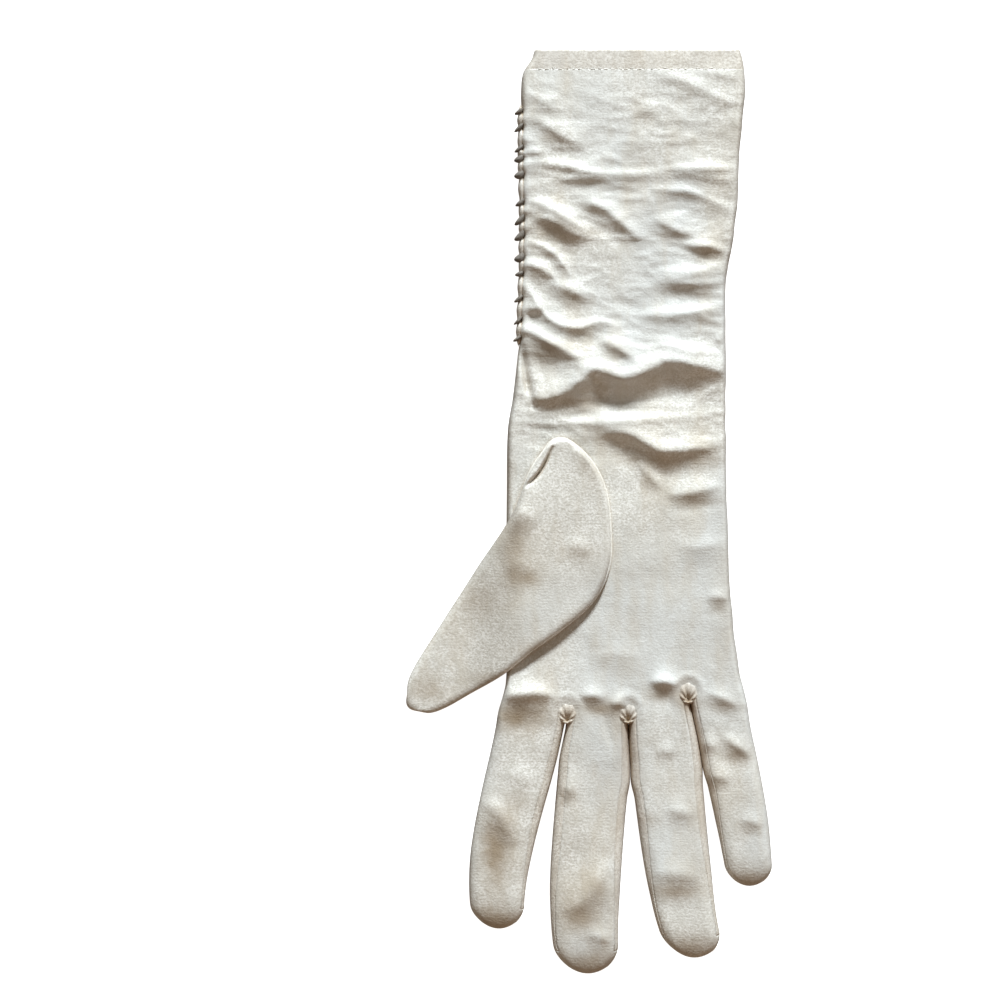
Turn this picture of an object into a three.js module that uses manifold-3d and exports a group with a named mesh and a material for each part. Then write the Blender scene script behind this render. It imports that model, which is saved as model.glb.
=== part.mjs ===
// A ruched satin evening glove for the right hand, lying flat with its palm up, its mouth towards +Y
// and its fingertips towards -Y. The cloth is a thin wall round a hollow that opens at the mouth.
import * as THREE from "three";
import { mergeVertices } from "three/addons/utils/BufferGeometryUtils.js";
import Module from "manifold-3d";

// Driving sizes, in millimetres.
const WALL = 1.2;
const SEAM_GAP = 0.3;
const MOUTH_WIDTH = 71.4;
const WRIST_WIDTH = 69.8;
const KNUCKLE_WIDTH = 79.5;
const SLEEVE_LENGTH = 111; // from the mouth to the foot of the ruching
const HAND_LENGTH = 101; // from there to the roots of the fingers
const SLEEVE_LOFT = 9; // thickness of the glove as it lies
const HAND_LOFT = 8.6;
const FINGER_LOFT = 8.4;
const EDGE_ROUND = 6; // how far in from its outline the lying cloth is rounded
const HEM_DEPTH = 7;
const HEM_WALL = 1.6; // the hem is turned in, so it is two cloths thick
const FINGER_GAP = 0.6;
const FOURCHETTE_WIDTH = 3.6; // how far a side strip reaches onto the front and back of a finger
const FOURCHETTE_END = 0.86; // where it ends, as a share of the finger's length
const KNOT_RADIUS = 2.5; // the gathered end of a side strip, at the root of two fingers
const RUCHE_START = 18; // from the mouth to the first gather
const RUCHE_PITCH = 5.9;
const RUCHE_COUNT = 13;
const RUCHE_BULGE = 1.6;
const RUCHE_HEIGHT = 4.6;
const THUMB_LENGTH = 103;
const THUMB_WIDTH = 32;
const THUMB_LOFT = 6.6;
const THUMB_DRAPE = 22; // how far past the side of the hand the thumb is down on the surface
const THUMB_HOLE_LENGTH = 38;
const THUMB_HOLE_WIDTH = 19;
const FOLD_DROP = 2.4; // how far the deepest fold's brow stands above the level cloth
const FOLD_DIP = 0.5; // depth of the hollow below a brow, as a share of the brow's height
const FOLD_BREADTH = 5; // half breadth of the broadest fold

// Shares of the loft at which the cloth's rounded edges stand.
const EDGE_HEIGHT = 0.45;
const THUMB_EDGE_HEIGHT = 0.4;

// The arm's two edges, measured from its middle line, and its loft. at is a share of the stretch's length.
const SLEEVE_SECTIONS = [
  { at: 0, left: -0.37 * MOUTH_WIDTH, right: 0.553 * MOUTH_WIDTH, loft: 0.93 * SLEEVE_LOFT },
  { at: 0.025, left: -0.383 * MOUTH_WIDTH, right: 0.564 * MOUTH_WIDTH, loft: 0.93 * SLEEVE_LOFT },
  { at: 0.065, left: -0.421 * MOUTH_WIDTH, right: 0.576 * MOUTH_WIDTH, loft: 0.95 * SLEEVE_LOFT },
  { at: 0.12, left: -0.43 * MOUTH_WIDTH, right: 0.574 * MOUTH_WIDTH, loft: 0.97 * SLEEVE_LOFT },
  { at: 0.29, left: -0.43 * MOUTH_WIDTH, right: 0.552 * MOUTH_WIDTH, loft: SLEEVE_LOFT },
  { at: 0.43, left: -0.426 * MOUTH_WIDTH, right: 0.543 * MOUTH_WIDTH, loft: SLEEVE_LOFT },
  { at: 0.57, left: -0.436 * WRIST_WIDTH, right: 0.528 * WRIST_WIDTH, loft: SLEEVE_LOFT },
  { at: 0.67, left: -0.44 * WRIST_WIDTH, right: 0.502 * WRIST_WIDTH, loft: SLEEVE_LOFT },
  { at: 0.84, left: -0.45 * WRIST_WIDTH, right: 0.5 * WRIST_WIDTH, loft: SLEEVE_LOFT },
];
const HAND_SECTIONS = [
  { at: 0, left: -0.477 * WRIST_WIDTH, right: 0.5 * WRIST_WIDTH, loft: 0.95 * SLEEVE_LOFT },
  { at: 0.1, left: -0.5 * WRIST_WIDTH, right: 0.5 * WRIST_WIDTH, loft: HAND_LOFT },
  { at: 0.3, left: -0.505 * WRIST_WIDTH, right: 0.505 * WRIST_WIDTH, loft: HAND_LOFT },
  { at: 0.64, left: -0.447 * KNUCKLE_WIDTH, right: 0.459 * KNUCKLE_WIDTH, loft: HAND_LOFT },
  { at: 0.9, left: -0.447 * KNUCKLE_WIDTH, right: 0.491 * KNUCKLE_WIDTH, loft: HAND_LOFT },
  { at: 1, left: -0.479 * KNUCKLE_WIDTH, right: 0.523 * KNUCKLE_WIDTH, loft: HAND_LOFT },
];

// The ends of the finger roots, from the thumb side to the little finger's side. rise is how far a point
// lies above the end of the hand.
const ROOT_POINTS = [
  { across: -0.479 * KNUCKLE_WIDTH, rise: 0 },
  { across: -0.201 * KNUCKLE_WIDTH, rise: 0 },
  { across: 0.044 * KNUCKLE_WIDTH, rise: 0 },
  { across: 0.286 * KNUCKLE_WIDTH, rise: 0.08 * KNUCKLE_WIDTH },
  { across: 0.523 * KNUCKLE_WIDTH, rise: 0.048 * KNUCKLE_WIDTH },
];

// One row for each finger, in millimetres. lean is how far the tip lies to the little finger's side of the
// root, bow how far the finger curves that way between them, and taper the share of width lost on the way.
const FINGERS = [
  { name: "index", length: 69.4, width: 22.1, lean: -10.7, bow: -3, taper: 0.14 },
  { name: "middle", length: 83.8, width: 23, lean: -3, bow: -1.9, taper: 0.02 },
  { name: "ring", length: 81.9, width: 22.7, lean: 11.8, bow: -1.2, taper: 0.08 },
  { name: "little", length: 60.8, width: 18.2, lean: 10.4, bow: 1.1, taper: 0.09 },
];

// How a finger's width and thickness run from its root, at 0, to its tip, at 1.
const FINGER_SECTIONS = [
  { at: 0, width: 0.97, loft: 1 },
  { at: 0.15, width: 0.99, loft: 1 },
  { at: 0.4, width: 1, loft: 1 },
  { at: 0.65, width: 1, loft: 0.97 },
  { at: 0.8, width: 0.96, loft: 0.93 },
  { at: 0.9, width: 0.93, loft: 0.88 },
  { at: 1, width: 0.9, loft: 0.85 },
];
const TIP_DOME = 0.1; // how far the middle of a row near the tip lies before its ends, as a share of width

// The main folds of the front, in shares: down of the sleeve's length, across and reach of the arm's width,
// breadth of FOLD_BREADTH and drop of FOLD_DROP. turn is in degrees, and a fold with a negative drop rises
// towards the hand where the others fall.
const FOLDS = [
  { down: 0.27, across: 0.2, reach: 0.2, turn: -18, breadth: 0.6, drop: 0.45 },
  { down: 0.355, across: 0.6, reach: 0.45, turn: 0, breadth: 0.55, drop: -0.35 },
  { down: 0.42, across: 0.82, reach: 0.25, turn: -15, breadth: 0.55, drop: -0.4 },
  { down: 0.53, across: 0.17, reach: 0.2, turn: -24, breadth: 0.6, drop: 0.6 },
  { down: 0.515, across: 0.44, reach: 0.2, turn: -35, breadth: 0.6, drop: 0.45 },
  { down: 0.54, across: 0.74, reach: 0.2, turn: -5, breadth: 0.6, drop: 0.4 },
  { down: 0.6, across: 0.16, reach: 0.25, turn: -35, breadth: 0.55, drop: -0.45 },
  { down: 0.6, across: 0.88, reach: 0.18, turn: 14, breadth: 0.55, drop: 0.4 },
  { down: 0.7, across: 0.79, reach: 0.28, turn: 2, breadth: 0.55, drop: 0.5 },
  { down: 0.755, across: 0.77, reach: 0.35, turn: 3, breadth: 0.55, drop: -0.4 },
  { down: 0.785, across: 0.28, reach: 0.35, turn: -8, breadth: 0.6, drop: -0.45 },
  { down: 0.865, across: 0.16, reach: 0.22, turn: -25, breadth: 0.6, drop: 0.55 },
  { down: 0.875, across: 0.83, reach: 0.3, turn: -6, breadth: 0.55, drop: -0.4 },
  { down: 0.985, across: 0.52, reach: 0.7, turn: 8, breadth: 1, drop: 1 },
  { down: 1.085, across: 0.5, reach: 0.7, turn: 1, breadth: 0.6, drop: -0.45 },
  { down: 1.175, across: 0.78, reach: 0.34, turn: -3, breadth: 0.7, drop: 0.6 },
  { down: 1.295, across: 0.87, reach: 0.18, turn: 8, breadth: 0.6, drop: 0.4 },
];

// The thumb's edges each side of its middle line, in shares of THUMB_WIDTH, from its sewn top at 0 to its
// tip at 1.
const THUMB_SECTIONS = [
  { at: 0, left: 0.14, right: 0.1 },
  { at: 0.012, left: 0.2, right: 0.135 },
  { at: 0.03, left: 0.28, right: 0.175 },
  { at: 0.08, left: 0.39, right: 0.27 },
  { at: 0.15, left: 0.47, right: 0.36 },
  { at: 0.25, left: 0.53, right: 0.44 },
  { at: 0.35, left: 0.57, right: 0.54 },
  { at: 0.45, left: 0.6, right: 0.55 },
  { at: 0.55, left: 0.6, right: 0.46 },
  { at: 0.65, left: 0.56, right: 0.37 },
  { at: 0.75, left: 0.49, right: 0.33 },
  { at: 0.85, left: 0.39, right: 0.27 },
  { at: 0.93, left: 0.29, right: 0.23 },
  { at: 0.975, left: 0.2, right: 0.18 },
  { at: 1, left: 0.1, right: 0.1 },
];

// Where the thumb's base and its bend lie, from the foot of the ruching and the arm's middle line.
const THUMB_TOP = { across: -0.27 * WRIST_WIDTH, down: 0.13 * HAND_LENGTH };
const THUMB_FIRST_PULL = { across: 0.137, down: 0.333 }; // shares of THUMB_LENGTH, from the thumb's top
const THUMB_SECOND_PULL = { across: -0.165, down: 0.628 };
const THUMB_END = { across: -0.454, down: 0.826 };
const THUMB_HOLE = { at: 0.3, turn: -3 };

// How finely each stretch is faceted.
const FINGER_COLUMNS = [0, 0.11, 0.5, 0.89, 1];
const FINGER_ROWS = [0.06, 0.15, 0.28, 0.42, 0.56, 0.7, 0.82, 0.9, 0.95, 0.98, 1];
const THUMB_COLUMNS = [0, 0.08, 0.27, 0.5, 0.73, 0.92, 1];
const SLEEVE_ROWS = 27;
const HAND_ROWS = 13;
const STRIP_STEPS = 6;
const HOLE_STEPS = 20;
const RUCHE_STEPS = 4;

const ARM_LENGTH = SLEEVE_LENGTH + HAND_LENGTH;
const CUT_DEPTH = 60; // longer than any cut through the cloth
const ARM_SECTIONS = [
  ...SLEEVE_SECTIONS.map((row) => ({ ...row, down: row.at * SLEEVE_LENGTH })),
  ...HAND_SECTIONS.map((row) => ({ ...row, down: SLEEVE_LENGTH + row.at * HAND_LENGTH })),
];

const { clamp, lerp, degToRad } = THREE.MathUtils;
const ease = (t) => THREE.MathUtils.smoothstep(t, 0, 1);

// The height of a rounded edge, from 0 at the outline to 1 where the cloth lies level.
const arch = (t) => Math.sqrt(1 - (1 - clamp(t, 0, 1)) ** 2);

const wasm = await Module();
wasm.setup();

// The value of one column of a table, on a smooth curve through its rows.
function through(rows, key, column, place) {
  const last = rows.length - 1;
  const at = clamp(place, rows[0][key], rows[last][key]);
  let i = 0;
  while (i < last - 1 && rows[i + 1][key] < at) i += 1;
  const slope = (k) => {
    const before = rows[Math.max(k - 1, 0)];
    const after = rows[Math.min(k + 1, last)];
    return (after[column] - before[column]) / (after[key] - before[key]);
  };
  const span = rows[i + 1][key] - rows[i][key];
  const t = (at - rows[i][key]) / span;
  const stay = (1 + 2 * t) * (1 - t) ** 2;
  return (
    stay * rows[i][column] +
    (1 - stay) * rows[i + 1][column] +
    span * t * (1 - t) * ((1 - t) * slope(i) - t * slope(i + 1))
  );
}

function armAt(down) {
  const left = through(ARM_SECTIONS, "down", "left", down);
  const right = through(ARM_SECTIONS, "down", "right", down);
  return { left, right, loft: through(ARM_SECTIONS, "down", "loft", down) };
}

// How far the folds lift the front at a share across the arm.
function foldLift(down, share, width) {
  let lift = 0;
  for (const fold of FOLDS) {
    const turn = degToRad(fold.turn);
    const x = (share - fold.across) * width;
    const y = fold.down * SLEEVE_LENGTH - down;
    const along = x * Math.cos(turn) + y * Math.sin(turn);
    const past = (x * Math.sin(turn) - y * Math.cos(turn)) / (fold.breadth * FOLD_BREADTH);
    const reach = fold.reach * width;
    if (Math.abs(along) >= reach) continue;
    const fade = Math.cos((Math.PI / 2) * (along / reach)) ** 2;
    const wave = -fold.drop * past * Math.exp((1 - past * past) / 2);
    lift += FOLD_DROP * fade * wave * (wave < 0 ? FOLD_DIP : 1);
  }
  return lift;
}

// How far the root line of the fingers lies above the end of the hand.
function rootRise(x) {
  let i = 0;
  while (i < ROOT_POINTS.length - 2 && ROOT_POINTS[i + 1].across < x) i += 1;
  const [a, b] = [ROOT_POINTS[i], ROOT_POINTS[i + 1]];
  return lerp(a.rise, b.rise, clamp((x - a.across) / (b.across - a.across), 0, 1));
}

const crotches = ROOT_POINTS.slice(1, -1).map((p) => ({ x: p.across, y: p.rise - ARM_LENGTH }));

function crotchDistance(x, y) {
  return Math.min(...crotches.map((c) => Math.hypot(x - c.x, y - c.y)));
}

// A finger's root, and its outline before its neighbours are minded.
function fingerRoot(i) {
  const [a, b] = [ROOT_POINTS[i], ROOT_POINTS[i + 1]];
  const x = (a.across + b.across) / 2;
  const y = (a.rise + b.rise) / 2 - ARM_LENGTH;
  return { a, b, x, y };
}

// The share of its width that a finger keeps at t, where its tip is an arc.
function tipShare({ length, width, taper }, t) {
  const radius = ((FINGER_SECTIONS.at(-1).width - taper) * width) / 2;
  const past = clamp(1 - ((1 - t) * length + TIP_DOME * width) / radius, 0, 1);
  return Math.sqrt(1 - past ** 2);
}

function freeEdges(i, t) {
  const finger = FINGERS[i];
  const root = fingerRoot(i);
  const bend = finger.lean * t + finger.bow * 6.75 * t * t * (1 - t); // 6.75 makes bow the curve's peak
  const share = through(FINGER_SECTIONS, "at", "width", t) - finger.taper * ease((t - 0.15) / 0.75);
  const half = ((finger.width * share) / 2) * tipShare(finger, t);
  const own = ease(t / 0.2);
  return {
    left: lerp(root.a.across + bend, root.x + bend - half, own),
    right: lerp(root.b.across + bend, root.x + bend + half, own),
  };
}

// A finger's two edges at a share of its length. Neighbours keep a gap that opens from their shared root.
function fingerEdges(i, t) {
  const y = fingerRoot(i).y - FINGERS[i].length * t;
  const edges = freeEdges(i, t);
  const neighbour = (k, side, other, sign) => {
    if (k < 0 || k >= FINGERS.length) return;
    const at = (fingerRoot(k).y - y) / FINGERS[k].length;
    if (at > 1) return;
    const facing = freeEdges(k, Math.max(at, 0))[other];
    const below = crotches[Math.min(i, k)].y - y;
    const gap = Math.min(FINGER_GAP, Math.max(below, 0) * 0.15);
    const limit = (edges[side] + facing) / 2 - (sign * gap) / 2;
    edges[side] = sign > 0 ? Math.min(edges[side], limit) : Math.max(edges[side], limit);
  };
  if (t > 0) {
    neighbour(i + 1, "right", "left", 1);
    neighbour(i - 1, "left", "right", -1);
  }
  return edges;
}

// A point of a finger in plan, with its distance from the outline and its loft.
function fingerPoint(i, t, share) {
  const finger = FINGERS[i];
  const root = fingerRoot(i);
  const { left, right } = fingerEdges(i, t);
  const slant = (lerp(root.a.rise, root.b.rise, share) - ARM_LENGTH - root.y) * (1 - ease(t / 0.4));
  const roundTip = (at) => TIP_DOME * finger.width * (2 * share - 1) ** 2 * ease((at - 0.8) / 0.2);
  const x = lerp(left, right, share);
  const y = root.y - finger.length * t + slant + roundTip(t);
  const tip = root.y - finger.length + roundTip(1);
  const fromEdge = Math.min(x - left, right - x, y - tip);
  const loft = lerp(HAND_LOFT, FINGER_LOFT * through(FINGER_SECTIONS, "at", "loft", t), ease(t / 0.3));
  return { x, y, fromEdge, round: Math.min(EDGE_ROUND, 0.42 * (right - left)), loft };
}

// The shares across the arm of its columns, which run into the fingers' columns at their roots.
function columnShares(toRoots) {
  const width = ROOT_POINTS.at(-1).across - ROOT_POINTS[0].across;
  const rootShares = FINGERS.flatMap((_, i) =>
    FINGER_COLUMNS.slice(i ? 1 : 0).map(
      (s) => (lerp(ROOT_POINTS[i].across, ROOT_POINTS[i + 1].across, s) - ROOT_POINTS[0].across) / width,
    ),
  );
  const last = rootShares.length - 1;
  return rootShares.map((rootShare, j) => {
    const even = j / last;
    const sleeve = lerp(even, (1 - Math.cos(Math.PI * even)) / 2, 0.35);
    return lerp(sleeve, rootShare, toRoots);
  });
}

// A point of the sleeve or hand in plan, with what its front and back heights need.
function armPoint(down, share) {
  const { left, right, loft } = armAt(down);
  const x = lerp(left, right, share);
  const toRoots = ease((down - ARM_LENGTH + 0.5 * HAND_LENGTH) / (0.5 * HAND_LENGTH));
  const y = -down + rootRise(x) * toRoots;
  const fromEdge = Math.min(x - left, right - x, crotchDistance(x, y));
  return { x, y, fromEdge, round: EDGE_ROUND, loft, lift: foldLift(down, share, right - left) };
}

// The front and back heights over a point of the plan.
function heights(p) {
  const full = arch(p.fromEdge / p.round);
  const middle = EDGE_HEIGHT * p.loft;
  const front = middle + (p.loft - middle + (p.lift ?? 0)) * full;
  return { front, back: middle * (1 - full) };
}

// Two sheets, front and back, that share the points of their outline. Points are kept once by name.
class Sheets {
  constructor() {
    this.names = new Map();
    this.points = [];
    this.faces = [];
  }

  point(name, x, y, z) {
    if (!this.names.has(name)) {
      this.names.set(name, this.points.length);
      this.points.push([x, y, z]);
    }
    return this.names.get(name);
  }

  // A grid of plan points becomes a front and a back sheet. Each item is {name, x, y, front, back, edge}.
  grid(rows) {
    const side = (item, front) => {
      const name = item.edge ? item.name : item.name + (front ? "-front" : "-back");
      return this.point(name, item.x, item.y, front ? item.front : item.back);
    };
    for (let i = 0; i + 1 < rows.length; i += 1) {
      for (let j = 0; j + 1 < rows[i].length; j += 1) {
        for (const front of [true, false]) {
          const corners = [rows[i][j], rows[i + 1][j], rows[i + 1][j + 1], rows[i][j + 1]];
          const [a, b, c, d] = corners.map((item) => side(item, front));
          const pair = [[a, b, c], [a, c, d]];
          for (const f of pair) this.faces.push(front ? f : [f[0], f[2], f[1]]);
        }
      }
    }
  }
}

function geometryOf(points, faces) {
  const geometry = new THREE.BufferGeometry();
  geometry.setAttribute("position", new THREE.Float32BufferAttribute(points.flat(), 3));
  geometry.setIndex(faces.flat());
  return geometry;
}

// The same cloth's inner side, a wall's thickness in from each point.
function innerPoints(points, faces, wall) {
  const geometry = geometryOf(points, faces);
  geometry.computeVertexNormals();
  const normal = geometry.getAttribute("normal");
  return points.map(([x, y, z], i) => [
    x - wall * normal.getX(i),
    y - wall * normal.getY(i),
    z - wall * normal.getZ(i),
  ]);
}

// A wall with an open mouth: the outer side, the inner side and the rims that join them.
function wallWithRims(sheets, rims, wall) {
  const inner = innerPoints(sheets.points, sheets.faces, wall);
  const count = sheets.points.length;
  for (const rim of rims) {
    for (const i of rim) inner[i][1] = sheets.points[i][1];
  }
  const faces = [
    ...sheets.faces,
    ...sheets.faces.map(([a, b, c]) => [a + count, c + count, b + count]),
  ];
  for (const rim of rims) {
    rim.forEach((a, k) => {
      const b = rim[(k + 1) % rim.length];
      faces.push([a, b, b + count], [a, b + count, a + count]);
    });
  }
  return geometryOf([...sheets.points, ...inner], faces);
}

function solidOf(geometry) {
  const bare = geometry.clone();
  bare.deleteAttribute("normal");
  bare.deleteAttribute("uv");
  const merged = mergeVertices(bare, 1e-4);
  return new wasm.Manifold(
    new wasm.Mesh({
      numProp: 3,
      vertProperties: merged.getAttribute("position").array,
      triVerts: new Uint32Array(merged.index.array),
    }),
  );
}

function geometryFrom(solid) {
  const mesh = solid.getMesh();
  const geometry = new THREE.BufferGeometry();
  geometry.setAttribute("position", new THREE.BufferAttribute(mesh.vertProperties, 3));
  geometry.setIndex(new THREE.BufferAttribute(mesh.triVerts, 1));
  geometry.computeVertexNormals();
  return geometry;
}

// The ring of points round one row of an arm: along the front and back by the back.
function ringOf(sheets, row) {
  const front = row.map((item) => sheets.names.get(item.edge ? item.name : item.name + "-front"));
  const back = row.slice(1, -1).map((item) => sheets.names.get(item.name + "-back"));
  return [...front, ...back.reverse()];
}

function armRow(down, shares, name) {
  return shares.map((share, j) => {
    const p = armPoint(down, share);
    const isRoot = down >= ARM_LENGTH - 1e-6 && j % (FINGER_COLUMNS.length - 1) === 0;
    const edge = j === 0 || j === shares.length - 1 || isRoot;
    return { name: `${name}-${j}`, ...p, ...heights(p), edge };
  });
}

// The rows of the sleeve and hand, from below the hem to the finger roots.
function armRows() {
  const start = HEM_DEPTH + SEAM_GAP;
  const downs = [];
  for (let i = 0; i < SLEEVE_ROWS; i += 1) downs.push(lerp(start, SLEEVE_LENGTH, i / SLEEVE_ROWS));
  for (let i = 0; i <= HAND_ROWS; i += 1) {
    const share = i / HAND_ROWS;
    downs.push(SLEEVE_LENGTH + HAND_LENGTH * (1 - (1 - share) ** 1.35));
  }
  return downs.map((down, i) => {
    const toRoots = ease((down - SLEEVE_LENGTH) / HAND_LENGTH);
    return armRow(down, columnShares(toRoots), `arm${i}`);
  });
}

// The outer side of the trank: sleeve, hand and the fronts and backs of the four fingers in one cloth.
function trankSheets() {
  const sheets = new Sheets();
  const rows = armRows();
  sheets.grid(rows);
  const rootRow = rows.at(-1);
  const columns = FINGER_COLUMNS.length - 1;
  FINGERS.forEach((finger, i) => {
    const fingerRows = FINGER_ROWS.map((t) =>
      FINGER_COLUMNS.map((share, j) => {
        const p = fingerPoint(i, t, share);
        const edge = j === 0 || j === columns || t === 1;
        return { name: `${finger.name}-${t}-${j}`, ...p, ...heights(p), edge };
      }),
    );
    sheets.grid([rootRow.slice(i * columns, (i + 1) * columns + 1), ...fingerRows]);
  });
  return { sheets, mouth: ringOf(sheets, rows[0]) };
}

// The trank's whole outer form, its mouth closed, moved up by a clearance to cut what lies on it.
function trankForm({ sheets, mouth }, up) {
  const points = sheets.points.map(([x, y, z]) => [x, y, z + up]);
  const middle = new THREE.Vector3();
  for (const i of mouth) middle.add(new THREE.Vector3(...points[i]));
  const cap = mouth.map((a, k) => [a, mouth[(k + 1) % mouth.length], points.length]);
  points.push(middle.divideScalar(mouth.length).toArray());
  return solidOf(geometryOf(points, [...sheets.faces, ...cap]));
}

// A prism over a plan outline, from a height up.
function prism(outline, bottom, top) {
  const shape = new THREE.Shape(outline.map(([x, y]) => new THREE.Vector2(x, y)));
  const geometry = new THREE.ExtrudeGeometry(shape, { depth: top - bottom, bevelEnabled: false });
  geometry.translate(0, 0, bottom);
  return solidOf(geometry);
}

// The plan outline of the side strip between finger i and the next: down one finger and up the other, with
// a round end above their shared root. grow widens it to leave the seam's gap.
function stripOutline(i, grow) {
  const reach = FOURCHETTE_WIDTH + grow;
  const side = (k, edge, sign) => {
    const points = [];
    for (let n = 0; n <= STRIP_STEPS; n += 1) {
      const t = (FOURCHETTE_END + grow / FINGERS[k].length) * (n / STRIP_STEPS);
      const width = reach * (1 - ease((t / FOURCHETTE_END - 0.55) / 0.45)) - (n === STRIP_STEPS ? 0.4 : 0);
      const p = fingerPoint(k, t, edge === "left" ? 0 : 1);
      points.push([p.x + sign * width, p.y]);
    }
    return points;
  };
  const down = side(i, "right", -1);
  const up = side(i + 1, "left", 1);
  const { x, y } = crotches[i];
  const round = [];
  for (let n = 1; n < STRIP_STEPS; n += 1) {
    const angle = Math.PI * (1 - n / STRIP_STEPS);
    round.push([x + reach * Math.cos(angle), y + reach * Math.sin(angle)]);
  }
  return [...down.reverse(), ...round, ...up].reverse();
}

// The little gathered knot in which a side strip ends at the root of two fingers.
function knot(i) {
  const { x, y } = crotches[i];
  const geometry = new THREE.SphereGeometry(KNOT_RADIUS, 10, 6);
  geometry.rotateX(Math.PI / 2);
  geometry.scale(1, 1.1, (0.47 * HAND_LOFT) / KNOT_RADIUS);
  geometry.translate(x, y + 0.2 * KNOT_RADIUS, HAND_LOFT / 2);
  return solidOf(geometry);
}

// The thumb's middle line in plan.
function thumbLine() {
  const top = new THREE.Vector2(THUMB_TOP.across, -SLEEVE_LENGTH - THUMB_TOP.down);
  const from = ({ across, down }) =>
    new THREE.Vector2(top.x + across * THUMB_LENGTH, top.y - down * THUMB_LENGTH);
  return new THREE.CubicBezierCurve(top, from(THUMB_FIRST_PULL), from(THUMB_SECOND_PULL), from(THUMB_END));
}

// How high the thumb's underside lies: on the hand, then down over its side to the surface.
function thumbRest(x, y) {
  const outside = x - armAt(clamp(-y, 0, ARM_LENGTH)).left;
  return (HAND_LOFT + SEAM_GAP) * ease((outside + THUMB_DRAPE) / (THUMB_DRAPE + EDGE_ROUND / 2));
}

function thumbSheets() {
  const line = thumbLine();
  const sheets = new Sheets();
  const last = THUMB_SECTIONS.length - 1;
  const rows = THUMB_SECTIONS.map((row, n) => {
    const middle = line.getPoint(row.at);
    const ahead = line.getTangent(row.at);
    const [left, right] = [-row.left * THUMB_WIDTH, row.right * THUMB_WIDTH];
    const ends = Math.min(row.at, 1 - row.at) * THUMB_LENGTH;
    return THUMB_COLUMNS.map((share, j) => {
      const off = lerp(left, right, share);
      const bulge = n === 0 || n === last ? 0.05 * THUMB_WIDTH * (1 - (2 * share - 1) ** 2) : 0;
      const along = n === 0 ? -bulge : bulge;
      const x = middle.x - ahead.y * off + ahead.x * along;
      const y = middle.y + ahead.x * off + ahead.y * along;
      const fromEdge = Math.min(off - left, right - off, ends);
      const full = arch(fromEdge / Math.min(EDGE_ROUND, 0.42 * (right - left)));
      const rest = thumbRest(x, y);
      const edgeHeight = THUMB_EDGE_HEIGHT * THUMB_LOFT;
      return {
        name: `thumb-${n}-${j}`,
        x,
        y,
        front: rest + edgeHeight + (THUMB_LOFT - edgeHeight) * full,
        back: rest + edgeHeight * (1 - full),
        edge: j === 0 || j === THUMB_COLUMNS.length - 1 || n === 0 || n === last,
      };
    });
  });
  sheets.grid(rows);
  return sheets;
}

// The oval where the thumb opens into the hand.
function thumbHole(grow) {
  const middle = thumbLine().getPoint(THUMB_HOLE.at);
  const turn = degToRad(THUMB_HOLE.turn);
  const outline = [];
  for (let n = 0; n < HOLE_STEPS; n += 1) {
    const angle = (2 * Math.PI * n) / HOLE_STEPS;
    const x = (THUMB_HOLE_WIDTH / 2 + grow) * Math.cos(angle);
    const y = (THUMB_HOLE_LENGTH / 2 + grow) * Math.sin(angle);
    outline.push([
      middle.x + x * Math.cos(turn) - y * Math.sin(turn),
      middle.y + x * Math.sin(turn) + y * Math.cos(turn),
    ]);
  }
  return prism(outline, HAND_LOFT / 2, HAND_LOFT + THUMB_LOFT / 2);
}

// The turned hem: a short double wall that carries the sleeve's form to the mouth.
function hemGeometry() {
  const sheets = new Sheets();
  const shares = columnShares(0);
  const rows = [0, 0.4, 1].map((share, i) => armRow(share * HEM_DEPTH, shares, `hem${i}`));
  sheets.grid(rows);
  const mouth = ringOf(sheets, rows[0]);
  const foot = ringOf(sheets, rows.at(-1)).reverse();
  return wallWithRims(sheets, [mouth, foot], HEM_WALL);
}

// The gathered seam along the thumb side of the sleeve: one bulge of cloth between each two stitches.
function rucheGeometry() {
  const angles = [-90, -45, 0, 45, 90].map(degToRad);
  const stations = RUCHE_COUNT * RUCHE_STEPS;
  const points = [];
  const faces = [];
  for (let n = 0; n <= stations; n += 1) {
    const down = RUCHE_START + (n / RUCHE_STEPS) * RUCHE_PITCH;
    const { left, loft } = armAt(down);
    const full = 0.45 + 0.55 * Math.sin((Math.PI * n) / RUCHE_STEPS) ** 2;
    for (const angle of angles) {
      points.push([
        left - SEAM_GAP - RUCHE_BULGE * full * Math.cos(angle),
        -down,
        EDGE_HEIGHT * loft + (RUCHE_HEIGHT / 2) * full * Math.sin(angle),
      ]);
    }
  }
  const ring = angles.length;
  for (let n = 0; n < stations; n += 1) {
    for (let k = 0; k < ring; k += 1) {
      const [a, b] = [n * ring + k, n * ring + ((k + 1) % ring)];
      faces.push([a, b + ring, b], [a, a + ring, b + ring]);
    }
  }
  const end = stations * ring;
  for (let k = 1; k + 1 < ring; k += 1) faces.push([0, k, k + 1], [end, end + k + 1, end + k]);
  return geometryOf(points, faces);
}

function satin(colour, roughness) {
  return new THREE.MeshStandardMaterial({ color: colour, roughness, metalness: 0 });
}

function meshOf(name, geometry, material) {
  const mesh = new THREE.Mesh(geometry, material);
  mesh.name = name;
  return mesh;
}

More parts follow.
